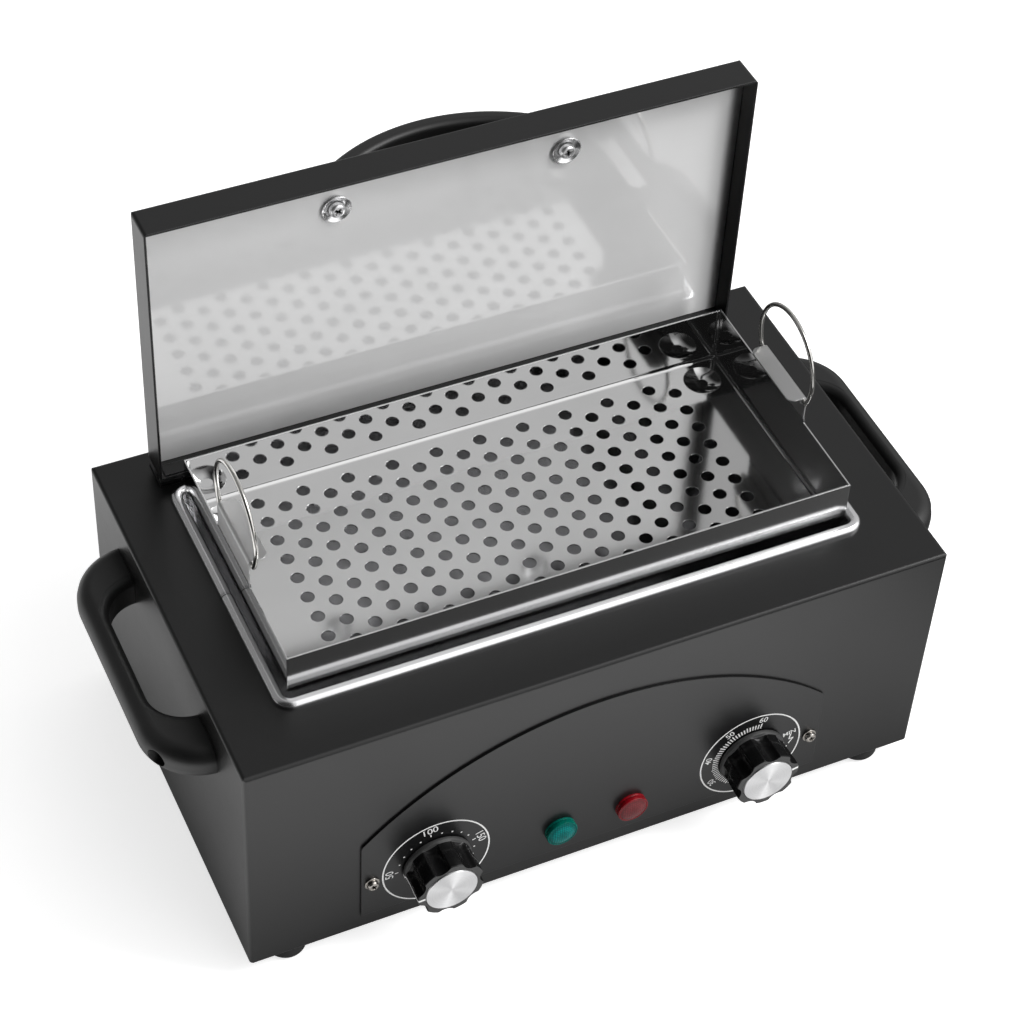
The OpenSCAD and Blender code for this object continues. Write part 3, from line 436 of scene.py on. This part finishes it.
for dial in ("thermostat", "timer"):
    centre = (dial_x[dial], plate_face, dial_z)
    flute_start = pointer_turn[dial] + 180 / KNOB_FLUTES

    def outline(radius, share):
        def at(turn):
            step = 360 / KNOB_FLUTES
            angle = (math.degrees(turn) - flute_start + step / 2) % step - step / 2
            return fluted(radius, share, angle)

        return at

    rings = [(depth, outline(radius, share)) for depth, radius, share in KNOB_PROFILE]
    knob, rows = ring_shell(rings, centre, KNOB_STEPS)
    knob.faces.new(list(reversed(rows[0])))
    knob.faces.new(rows[-1])
    bmesh.ops.recalc_face_normals(knob, faces=knob.faces)
    body = dial + "_dial"
    cad_knob = (dial + "_knob",)
    moulding = keep(dial + "_knob_moulding", knob, knob_black, body, cad_knob, sharp=50)
    moulding.data.materials.append(knob_dull_sheen.material)
    # Skirt and flat front faces get the paler finish: a painted sheen.
    for polygon in moulding.data.polygons:
        ahead = plate_face - polygon.center.y / MM
        if ahead < SKIRT_TOP or (ahead > FACE_AT and abs(polygon.normal.y) > 0.95):
            polygon.material_index = 1

    # The white line is a thin ribbon laid on the lobe.
    ribbon = bmesh.new()
    pointer = math.radians(pointer_turn[dial])
    across = []
    for depth, radius in LINE_PROFILE:
        lean = math.asin(LINE_HALF / radius)
        pair = []
        for side in (-1, 0, 1):
            turn = pointer + side * lean
            reach = Vector((radius * math.cos(turn), -depth, radius * math.sin(turn)))
            pair.append(ribbon.verts.new((Vector(centre) + reach) * MM))
        across.append(pair)
    for low, high in zip(across, across[1:]):
        for i in range(2):
            ribbon.faces.new((low[i], low[i + 1], high[i + 1], high[i]))
    outward = Vector((math.cos(pointer), -1, math.sin(pointer)))
    ribbon.normal_update()
    for face in ribbon.faces:
        if face.normal.dot(outward) < 0:
            face.normal_flip()
    # The line takes the print's finish, with its faint painted glow.
    keep(dial + "_knob_line", ribbon, white_print, body)


# Knob caps
# Turned aluminium discs pressed into the knobs. The turning leaves fine rings, which spread each
# highlight into two bright fans.
turned_gloss = {"Metallic": 1.0, "Anisotropic": 0.85, "Anisotropic Rotation": 0.25}
cap_metal = Finish("spun_aluminium", turned_gloss)
flattened = {0: cap_metal.place, 1: (1, 1, 0)}
off_axis = cap_metal.add("ShaderNodeVectorMath", {"operation": "MULTIPLY"}, flattened)
away = cap_metal.add("ShaderNodeVectorMath", {"operation": "LENGTH"}, {0: off_axis}, "Value")
GROOVE = 0.35
groove = {"W": away * (1 / (GROOVE * MM)), "Scale": 1.0, "Detail": 3.0}
ring = cap_metal.add("ShaderNodeTexNoise", {"noise_dimensions": "1D"}, groove, "Fac")
cap_metal.feed("Base Color", cap_metal.between(ring, (0.64, 0.64, 0.65, 1), (0.86, 0.86, 0.86, 1)))
cap_metal.feed("Roughness", 0.40 + 0.12 * ring)
cap_metal.feed("Normal", cap_metal.bump(ring, 0.02))
facing = Matrix(((1, 0, 0), (0, 0, -1), (0, 1, 0))).to_4x4()
CAP_STEPS = 96
for dial in ("thermostat", "timer"):
    shape = [(15.3, 11.7), (16.75, 11.7), (16.93, 11.62), (17.0, 11.45), (17.0, 11.2)]
    shape += [(16.98 - 0.002 * (11 - r), r) for r in (10, 8, 6, 4, 2, 1, 0.5, 0.2)]
    cap = bmesh.new()
    rows = []
    turns = [math.tau * i / CAP_STEPS for i in range(CAP_STEPS)]
    for depth, r in shape:
        places = [Vector((r * math.cos(a), r * math.sin(a), depth)) * MM for a in turns]
        rows.append([cap.verts.new(place) for place in places])
    for low, high in zip(rows, rows[1:]):
        for i in range(CAP_STEPS):
            j = (i + 1) % CAP_STEPS
            cap.faces.new((low[i], low[j], high[j], high[i]))
    cap.faces.new(list(reversed(rows[0])))
    cap.faces.new(rows[-1])
    bmesh.ops.recalc_face_normals(cap, faces=cap.faces)
    disc = keep(dial + "_cap_disc", cap, cap_metal, None, (dial + "_cap",), sharp=40)
    disc.matrix_world = Matrix.Translation(Vector((dial_x[dial], plate_face, dial_z)) * MM) @ facing
    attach(disc, dial + "_dial")


# Lamp lenses
# Short clear coloured plastic cylinders with a low dome, pushed into holes of the front plate. The
# dome's inside carries a fine mesh of dimples that scatters the lamp's light.
def lens_plastic(name, dark, light, side, index):
    """side is the cylinder's colour, a painted highlight on its rim; dark and light are those of the
    dome's mesh.
    """
    plastic = Finish(name, {"Metallic": 0.0, "IOR": index})
    cloud = plastic.grain(3.2, 3)
    cells = {"Vector": plastic.stretched(950, 950, 950), "Scale": 1.0, "Randomness": 0.12}
    dimple = plastic.add("ShaderNodeTexVoronoi", {"feature": "F1"}, cells, "Distance")
    net = plastic.ranged(dimple, 0.15, 0.62, 1, 0)
    normal = plastic.add("ShaderNodeNewGeometry", output="Normal")
    front = plastic.add("ShaderNodeSeparateXYZ", values=(normal,), output="Y")
    flat = plastic.ranged(front, -0.80, -0.95, 0, 1)
    face = plastic.between(0.75 * net + 0.25 * cloud, dark, light)
    # Faces that don't look straight ahead take the side colour, a painted highlight on the rim.
    plastic.feed("Base Color", plastic.between(flat, plastic.between(cloud, dark, side), face))
    plastic.feed("Roughness", 0.20 + 0.10 * cloud)
    plastic.feed("Normal", plastic.bump(net, 0.05))
    return plastic


LENS_R = 7.2
LENS_RIM = 0.75
LENS_STEPS = 72
DOME_ROWS = 24
for colour, dark, light, side, index in (
    ("green", (0.0, 0.060, 0.055, 1), (0.0, 0.31, 0.29, 1), (0.0, 0.19, 0.13, 1), 1.16),
    ("red", (0.085, 0.004, 0.006, 1), (0.23, 0.018, 0.024, 1), (0.46, 0.002, 0.012, 1), 1.36),
):
    lens_x, _, lens_z = middle_of(colour + "_lens")
    centre = (lens_x, plate_face, lens_z)
    plastic = lens_plastic(colour + "_lens_plastic", dark, light, side, index)
    profile = [(0.0, LENS_R), (0.8, LENS_R), (0.95, LENS_R - 0.12), (1.1, LENS_R), (2.8, LENS_R)]
    profile += [(3.05, LENS_R - 0.08), (3.2, LENS_R - 0.3), (3.2, LENS_R - LENS_RIM + 0.1)]
    profile += [(3.0, LENS_R - LENS_RIM - 0.05)]
    dome_r = LENS_R - LENS_RIM - 0.2
    for k in range(DOME_ROWS):
        r = dome_r * (1 - k / (DOME_ROWS - 0.2))
        profile.append((3.15 + 1.12 * (1 - (r / dome_r) ** 2), r))
    lens, rows = ring_shell([(depth, lambda turn, r=r: r) for depth, r in profile], centre, LENS_STEPS)
    lens.faces.new(rows[-1])
    lens.faces.new(list(reversed(rows[0])))
    bmesh.ops.recalc_face_normals(lens, faces=lens.faces)
    cad_lens = (colour + "_lens",)
    keep(colour + "_lens_dome", lens, plastic, "body", cad_lens, sharp=50)


# Front plate screws and lid screws
# Nickel-plated pan heads with a cross recess, on flat washers in front and on dished ones in the
# lid, where they hold the handle. The recess is painted near black as painted shade.
def metal(name, dark, light, rough, grain_size=0.8, depth=0.006):
    """Bare or plated metal, its colour clouded between dark and light."""
    finish = Finish(name, {"Metallic": 1.0})
    grain = finish.grain(grain_size, 4)
    cloud = finish.grain(grain_size * 14, 3)
    finish.feed("Base Color", finish.between(0.5 * grain + 0.5 * cloud, dark, light))
    finish.feed("Roughness", rough + 0.10 * cloud + 0.06 * grain - 0.08)
    finish.feed("Normal", finish.bump(grain + cloud, depth))
    return finish


nickel = metal("nickel", (0.25, 0.235, 0.22, 1), (0.47, 0.445, 0.415, 1), 0.22, depth=0.0015)
bright_screw = metal("bright_screw", (0.80, 0.80, 0.80, 1), (0.92, 0.92, 0.93, 1), 0.36, depth=0.002)
cup_steel = metal("cup_steel", (0.80, 0.80, 0.80, 1), (0.92, 0.92, 0.93, 1), 0.26, depth=0.002)
# Near-black finish for the cross recesses: painted shade.
recess = metal("screw_recess_shade", (0.030, 0.029, 0.028, 1), (0.055, 0.053, 0.050, 1), 0.5)


def cross_head(spot, out, up, radius, height, lean=0.0):
    """Pan head with a cross recess, whose faces take a second, near-black finish as painted shade.
    spot is the middle of its seat and out points away from it."""
    head = bmesh.new()
    side = up.cross(out)
    rings, steps = 26, 72
    rim_share = 0.42
    arm = radius * 0.46
    half = radius * 0.10
    flare = radius * 0.08
    rows, recessed = [], []
    for k in range(rings + 1):
        row, deep = [], []
        for i in range(steps):
            turn = math.tau * i / steps
            if k == 0:
                r, h = radius, 0.0
            else:
                r = radius * (1 - (k - 1) / (rings - 0.4)) if k > 1 else radius
                edge = min(1.0, (radius - r) / (radius * rim_share))
                crown = math.sqrt(max(0.0, 1 - (1 - edge) ** 2))
                h = height * (rim_share + (1 - rim_share) * crown)
            u = r * math.cos(turn)
            v = r * math.sin(turn)
            cu = u * math.cos(lean) + v * math.sin(lean)
            cv = -u * math.sin(lean) + v * math.cos(lean)
            cut = 0.0
            for a, b in ((cu, cv), (cv, cu)):
                across = max(0.0, min(1.0, (half + flare - abs(b)) / flare))
                along = max(0.0, min(1.0, (arm + flare - abs(a)) / flare))
                cut = max(cut, across * along)
            h -= height * 0.62 * cut if k > 1 else 0
            row.append(head.verts.new((Vector(spot) + side * u + up * v + out * h) * MM))
            deep.append(k > 1 and cut > 0.6)
        rows.append(row)
        recessed.append(deep)
    for a, b, deep in zip(rows, rows[1:], recessed[1:]):
        for i in range(steps):
            j = (i + 1) % steps
            head.faces.new((a[i], a[j], b[j], b[i])).material_index = int(deep[i] and deep[j])
    head.faces.new(rows[-1]).material_index = 1
    head.faces.new(list(reversed(rows[0])))
    bmesh.ops.recalc_face_normals(head, faces=head.faces)
    return head


def turned_ring(spot, out, up, profile):
    """Ring turned round the axis out, from (height, radius) points that go once round its section."""
    part = bmesh.new()
    side = up.cross(out)
    steps = 64
    rows = []
    for height, radius in profile:
        row = []
        for i in range(steps):
            turn = math.tau * i / steps
            reach = side * math.cos(turn) + up * math.sin(turn)
            row.append(part.verts.new((Vector(spot) + reach * radius + out * height) * MM))
        rows.append(row)
    for a, b in zip(rows, rows[1:] + rows[:1]):
        for i in range(steps):
            j = (i + 1) % steps
            part.faces.new((a[i], a[j], b[j], b[i]))
    bmesh.ops.recalc_face_normals(part, faces=part.faces)
    return part


def merged(parts):
    """Several meshes as one."""
    whole = bmesh.new()
    for part in parts:
        mesh = bpy.data.meshes.new("part")
        part.to_mesh(mesh)
        part.free()
        whole.from_mesh(mesh)
        bpy.data.meshes.remove(mesh)
    return whole


forward = Vector((0, -1, 0))
upward = Vector((0, 0, 1))
WASHER = 0.8
low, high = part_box("panel_washers")
screw_z = middle_of("panel_washers")[2]
washer_r = (high.z - low.z) / 2 / MM
screw_x = [low.x / MM + washer_r, high.x / MM - washer_r]
heads, washers = [], []
for x, lean in zip(screw_x, (0.5, 0.25)):
    heads.append(cross_head((x, plate_face - WASHER, screw_z), forward, upward, 2.6, 2.0, lean))
    profile = [(0.0, 1.7), (0.0, 3.3), (0.2, 3.4), (0.45, 3.4), (0.7, 3.3)]
    profile += [(WASHER, 3.05), (WASHER, 1.7)]
    washers.append(turned_ring((x, plate_face, screw_z), forward, upward, profile))
heads = merged(heads)
screws = keep("panel_screw_heads", heads, nickel, "body", ("panel_screws",), sharp=40)
screws.data.materials.append(recess.material)
keep("panel_washer_rings", merged(washers), nickel, "body", ("panel_washers",), sharp=40)

CUP_SEAT = 1.0
liner_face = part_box("lid_liner")[0].y / MM
low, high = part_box("lid_cup_washers")
cup_z = middle_of("lid_cup_washers")[2]
cup_r = (high.z - low.z) / 2 / MM
heads, cups = [], []
for x, lean in zip((low.x / MM + cup_r, high.x / MM - cup_r), (0.9, 0.2)):
    heads.append(cross_head((x, liner_face - CUP_SEAT, cup_z), forward, upward, 3.4, 2.6, lean))
    profile = [(0.0, 2.2), (0.0, 4.8), (1.45, cup_r), (1.9, cup_r), (2.0, cup_r - 0.1)]
    profile += [(2.0, cup_r - 0.35), (1.9, cup_r - 0.55), (1.75, cup_r - 0.75)]
    profile += [(0.62, 3.6), (0.55, 3.4), (0.55, 2.2)]
    cups.append(turned_ring((x, liner_face, cup_z), forward, upward, profile))
heads = merged(heads)
cad_screws = ("lid_handle_screws",)
screws = keep("lid_screw_heads", heads, bright_screw, "lid", cad_screws, sharp=40)
screws.data.materials.append(recess.material)
keep("lid_cup_rings", merged(cups), cup_steel, "lid", ("lid_cup_washers",), sharp=40)


# Bright sheet work: chamber, bead, lid liner and basket
# Cold-rolled stainless sheet. The bead, polished by hand, clips over the chamber's edge and ends in
# a seam on the left. Chamber and basket keep the mill's bright finish, and the lid's liner, held by
# the handle screws, is a softer one under a clear film.
SEAM = 0.3
BEAD_LEFT = -100
SKIN = 0.2


def sheet_steel(name, dark, light, rough, uneven, warp, edge, extra=None, brushed=None, seam=None):
    """Roughness rises by uneven in the smeared spots; edge is the radius left on folds, in millimetres.
    brushed gives the places of the basket's front and of its rim, in millimetres: the outside of its
    front wall is a little duller, its two tabs are brushed, and the rest keeps the mill's shine.
    seam is where a gap crosses the bead on the left, in millimetres from front to back."""
    steel = Finish(name, {"Metallic": 1.0, **(extra or {})})
    rolled = steel.grain(0.5, 3, (40, 1, 1))
    cloud = steel.grain(42, 3)
    wave = steel.grain(60, 1)
    smear = steel.ranged(steel.grain(16, 5, (2.5, 1, 1)), 0.5, 0.8, 0, 1)
    metal_colour = steel.between(0.3 * rolled + 0.7 * cloud, dark, light)
    if seam is not None:
        north = steel.add("ShaderNodeSeparateXYZ", values=(steel.place,), output="Y")
        off_seam = north.calculate("ABSOLUTE", north - seam * MM)
        east = steel.add("ShaderNodeSeparateXYZ", values=(steel.place,), output="X")
        gap = steel.ranged(off_seam, SEAM / 2 * MM, SEAM * MM, 1, 0)
        gap = gap * steel.ranged(east, BEAD_LEFT * MM, (BEAD_LEFT - 10) * MM, 0, 1)
        metal_colour = steel.between(gap, metal_colour, (0.02, 0.02, 0.02, 1))
    steel.feed("Base Color", metal_colour)
    gloss = rough + uneven * (0.4 * cloud + 0.2 * rolled + 0.5 * smear)
    if brushed:
        north = steel.add("ShaderNodeSeparateXYZ", values=(steel.place,), output="Y")
        height = steel.add("ShaderNodeSeparateXYZ", values=(steel.place,), output="Z")
        front, rim = brushed
        outside = steel.ranged(north, (front + 2 * SKIN) * MM, (front + SKIN) * MM, 0, 1)
        tabs = steel.ranged(height, rim * MM, (rim + 2) * MM, 0, 1)
        gloss = gloss + 0.04 * outside + 0.34 * tabs
    steel.feed("Roughness", gloss)
    fine = steel.bump(rolled, 0.001, under=steel.rounded(edge))
    steel.feed("Normal", steel.bump(wave, warp, under=fine))
    return steel


bead_steel = sheet_steel(
    "bead_steel", (0.72, 0.72, 0.73, 1), (0.82, 0.82, 0.83, 1), 0.20, 0.1, 0.006, 0.3, seam=-1
)
wear(bead_steel, "chamber_rim")
tub_steel = sheet_steel("tub_steel", (0.56, 0.56, 0.57, 1), (0.68, 0.68, 0.69, 1), 0.14, 0.1, 0.006, 1.2)
wear(tub_steel, "chamber_tub")
TRAY_SHEET = 0.7
TRAY_WALL = 28.5
wall_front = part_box("basket_walls")[0].y / MM
wall_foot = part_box("basket_walls")[0].z / MM
along_grain = {"Anisotropic": 0.9, "Anisotropic Rotation": 0.25}
wall_steel = sheet_steel(
    "wall_steel",
    (0.54, 0.54, 0.54, 1),
    (0.60, 0.60, 0.60, 1),
    0.02,
    0.03,
    0.01,
    0.5,
    along_grain,
    brushed=(wall_front, wall_foot + TRAY_WALL + 0.5),
)
wear(wall_steel, "basket_walls")
floor_steel = sheet_steel("floor_steel", (0.49,) * 3 + (1,), (0.57,) * 3 + (1,), 0.07, 0.06, 0.012, 0.3)
wear(floor_steel, "basket_floor")

# The basket's folds are rounded inside: a quarter-round strip lies along each one and catches light.
FOLD_R = 1.8
floor_low, floor_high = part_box("basket_floor")
left, right = floor_low.x / MM, floor_high.x / MM
near, far = floor_low.y / MM, floor_high.y / MM
foot = wall_foot + TRAY_SHEET
fold = bmesh.new()


def fillet(start, end, first, second):
    """Quarter-round strip along an inner edge; first and second point away from it along its sides."""
    rows = []
    steps = 6
    for k in range(steps + 1):
        turn = math.pi / 2 * k / steps
        shift = first * (1 - math.sin(turn)) + second * (1 - math.cos(turn))
        row = [fold.verts.new((place + shift * FOLD_R) * MM) for place in (start, end)]
        rows.append(row)
    for a, b in zip(rows, rows[1:]):
        face = fold.faces.new((a[0], a[1], b[1], b[0]))
        face.normal_update()
        if face.normal.dot(first + second) < 0:
            face.normal_flip()


inward = {"x": (Vector((1, 0, 0)), Vector((-1, 0, 0))), "y": (Vector((0, 1, 0)), Vector((0, -1, 0)))}
top = wall_foot + TRAY_WALL - 0.3
for x, side in zip((left, right), inward["x"]):
    fillet(Vector((x, near, foot)), Vector((x, far, foot)), upward, side)
for y, side in zip((near, far), inward["y"]):
    fillet(Vector((left, y, foot)), Vector((right, y, foot)), upward, side)
for x, side in zip((left, right), inward["x"]):
    for y, other in zip((near, far), inward["y"]):
        fillet(Vector((x, y, foot)), Vector((x, y, top)), side, other)
keep("basket_folds", fold, wall_steel, "basket")
liner_steel = sheet_steel(
    "liner_steel",
    (0.90, 0.90, 0.90, 1),
    (0.95, 0.95, 0.95, 1),
    0.44,
    0.1,
    0.012,
    0.2,
    {
        "Anisotropic": 1.0,
        "Anisotropic Rotation": 0.25,
        "Coat Weight": 1.0,
        "Coat Roughness": 0.06,
        "Coat IOR": 2.4,
    },
)
wear(liner_steel, "lid_liner")
wire_steel = metal("wire_steel", (0.55, 0.54, 0.52, 1), (0.76, 0.75, 0.72, 1), 0.16, 0.4, 0.004)
wear(wire_steel, "ring_left", "ring_right")


# Handles, feet and inlet
# Moulded black plastic with a fine satin grain, held by screws from inside; the feet are rubber.
# The lamp holders and the timer's case are white mouldings, and the cut-out's is phenolic.
def moulded(name, grey, rough, size, depth):
    """Plastic of a mean grey, with pebbles of that size and depth and paler edges."""
    plastic = Finish(name, {"Metallic": 0.0, "IOR": 1.48})
    pebble = plastic.grain(size, 3)
    tone = plastic.grain(22, 3)
    base = plastic.between(tone, (grey * 0.8,) * 3 + (1,), (grey * 1.25,) * 3 + (1,))
    edge = plastic.rounded(0.5)
    edge_tinted = plastic.between(plastic.edge_wear(edge) * 0.2, base, (0.06, 0.06, 0.06, 1))
    plastic.feed("Base Color", edge_tinted)
    plastic.feed("Roughness", rough + 0.08 * tone + 0.05 * pebble)
    plastic.feed("Normal", plastic.bump(pebble, depth, under=edge))
    return plastic


grip_plastic = moulded("grip_plastic", 0.010, 0.36, 0.6, 0.02)
wear(grip_plastic, "side_handle_left", "side_handle_right", "lid_handle")
inlet_plastic = moulded("inlet_plastic", 0.014, 0.30, 0.5, 0.01)
wear(inlet_plastic, "power_inlet")
foot_rubber = moulded("foot_rubber", 0.018, 0.62, 0.35, 0.03)
wear(foot_rubber, "feet")
white_moulding = moulded("white_moulding", 0.55, 0.35, 0.5, 0.01)
wear(white_moulding, "lamp_holders", "timer_body")
phenolic = moulded("phenolic", 0.05, 0.4, 0.4, 0.02)
wear(phenolic, "thermal_cutout")


# Small hardware and the inside
# Zinc-plated screws, nuts and brackets, a copper bulb with its thin tube, a mica heater clamped
# under the chamber, mineral wool packed round it, and sleeved leads.
zinc = metal("zinc_plate", (0.48, 0.50, 0.50, 1), (0.68, 0.69, 0.66, 1), 0.34, 0.9, 0.01)
wear(zinc, "base_screws", "foot_screws", "foot_nuts", "handle_screws", "handle_nuts")
wear(zinc, "hinge_base_screws", "hinge_pins", "inlet_screws", "control_screws", "heater_clamp")
wear(zinc, "heater_nuts", "earth_stud", "thermostat_body", "thermostat_shaft", "timer_shaft")
wear(nickel, "inlet_pins")
copper = metal("copper", (0.55, 0.25, 0.13, 1), (0.80, 0.45, 0.28, 1), 0.32, 0.7, 0.008)
wear(copper, "thermostat_bulb")


def fibrous(name, dark, light, size, stretch, depth):
    """Strands of that size, drawn out by stretch, between two colours."""
    stuff = Finish(name, {"Metallic": 0.0, "IOR": 1.4})
    strand = stuff.grain(size, 6, stretch, 0.7)
    stuff.feed("Base Color", stuff.between(strand, dark, light))
    stuff.feed("Roughness", 0.75 + 0.2 * strand)
    stuff.feed("Normal", stuff.bump(strand, depth))
    return stuff


wool = fibrous("mineral_wool", (0.50, 0.46, 0.33, 1), (0.82, 0.79, 0.66, 1), 0.9, (6, 6, 1), 0.5)
wear(wool, "chamber_insulation", "lid_insulation")
mica = fibrous("mica", (0.30, 0.24, 0.15, 1), (0.52, 0.45, 0.32, 1), 2.5, (1, 1, 0.2), 0.05)
wear(mica, "heater_plate")
sleeve = fibrous("lead_sleeve", (0.36, 0.24, 0.15, 1), (0.52, 0.38, 0.26, 1), 0.5, (1, 1, 1), 0.05)
wear(sleeve, "wiring")


# Studio
# A white floor under a wide soft source at the front right. The front left stays dark, the way a
# black flag keeps it, and the back right is half as bright as the source.
CASE_HALF_W = 0.16
CASE_HALF_D = 0.093
FLOOR_R = 6
floor_mesh = bmesh.new()
bmesh.ops.create_circle(floor_mesh, cap_ends=True, segments=64, radius=FLOOR_R)
ground = bpy.data.meshes.new("floor")
floor_mesh.to_mesh(ground)
floor_mesh.free()
floor = bpy.data.objects.new("floor", ground)
bpy.context.scene.collection.objects.link(floor)
pale = Finish("pale_floor", {"Roughness": 0.9, "Emission Strength": 1.0})
camera_ray = pale.add("ShaderNodeLightPath", output="Is Camera Ray")
glossy_ray = pale.add("ShaderNodeLightPath", output="Is Glossy Ray")
through_ray = pale.add("ShaderNodeLightPath", output="Is Transmission Ray")
# For reflections the floor is painted dark close to the front, far out at the front left and at the
# right: painted shade.
east = pale.add("ShaderNodeSeparateXYZ", values=(pale.place,), output="X")
north = pale.add("ShaderNodeSeparateXYZ", values=(pale.place,), output="Y")
off_x = east.calculate("MAXIMUM", east.calculate("ABSOLUTE", east) - CASE_HALF_W, 0.0)
off_y = east.calculate("MAXIMUM", east.calculate("ABSOLUTE", north) - CASE_HALF_D, 0.0)
off_case = east.calculate("SQRT", off_x * off_x + off_y * off_y)
in_front = pale.ranged(north, -0.02, -0.09, 0, 1)
front_left = pale.ranged(east, 0.0, -0.12, 0.6, 1) * pale.ranged(north, -0.22, -0.34, 0, 0.85)
dimmed = in_front * pale.ranged(off_case, 0.0, 0.15, 0.45, 0) + front_left
dimmed = dimmed + pale.ranged(east, 0.19, 0.30, 0, 0.85)
dimmed = dimmed.calculate("MINIMUM", dimmed, 0.95) * glossy_ray
pale.feed("Base Color", pale.between(dimmed, (0.86, 0.86, 0.86, 1), (0, 0, 0, 1)))
# In reflections the floor's glow is low next to the case, to its right and behind it, and rises away
# from it: painted shade and painted light.
glow = pale.ranged(off_case, 0.0, 0.13, 0.05, 1.1) * pale.ranged(east, 0.12, 0.28, 1, 0)
glow = glow * (1 - front_left) * (0.25 + 0.75 * in_front)
glow = glow + pale.ranged(east, -0.15, -0.2, 0, 0.25) * pale.ranged(north, -0.22, -0.1, 0, 1)
seen = 0.70 * camera_ray + glow * (glossy_ray + through_ray)
pale.feed("Emission Color", pale.between(seen, (0, 0, 0, 1), (1, 1, 1, 1)))
ground.materials.append(pale.material)

# One square soft box looks at the middle of the object.
soft_box = bpy.data.lights.new("panel_right", "AREA")
soft_box.shape = "RECTANGLE"
soft_box.size = 1.2
soft_box.size_y = 1.2
soft_box.energy = 40
box_stand = bpy.data.objects.new("panel_right", soft_box)
bpy.context.scene.collection.objects.link(box_stand)
box_stand.location = (1.9, -0.9, 2.1)
sight = Vector((0, 0, 0.1)) - box_stand.location
box_stand.rotation_euler = sight.to_track_quat("-Z", "Y").to_euler()

# The room is bright on the right and dark on the left, and the camera itself sees plain white.
world = bpy.data.worlds.new("studio")
bpy.context.scene.world = world
world.use_nodes = True
sky = world.node_tree
background = sky.nodes["Background"]
toward = sky.nodes.new("ShaderNodeSeparateXYZ")
sky.links.new(sky.nodes.new("ShaderNodeTexCoord").outputs["Generated"], toward.inputs[0])


def sky_range(socket, low, high, out_low, out_high):
    """A smooth step of a direction's part, as a number or from the two numbers' sockets."""
    step = sky.nodes.new("ShaderNodeMapRange")
    step.interpolation_type = "SMOOTHSTEP"
    sky.links.new(socket, step.inputs[0])
    step.inputs[1].default_value = low
    step.inputs[2].default_value = high
    for index, value in ((3, out_low), (4, out_high)):
        if isinstance(value, float):
            step.inputs[index].default_value = value
        else:
            sky.links.new(value, step.inputs[index])
    return step.outputs[0]


on_left = sky_range(toward.outputs[1], -0.25, 0.25, 0.03, 0.25)
on_right = sky_range(toward.outputs[1], -0.25, 0.25, 1.42, 0.58)
around = sky_range(toward.outputs[0], -0.18, 0.26, on_left, on_right)
rays = sky.nodes.new("ShaderNodeLightPath")
pick = sky.nodes.new("ShaderNodeMix")
pick.data_type = "FLOAT"
pick.inputs[3].default_value = 1.0
sky.links.new(rays.outputs["Is Camera Ray"], pick.inputs[0])
sky.links.new(around, pick.inputs[2])
sky.links.new(pick.outputs[0], background.inputs["Strength"])
background.inputs["Color"].default_value = (1, 1, 1, 1)

bpy.context.scene.view_settings.view_transform = "Standard"
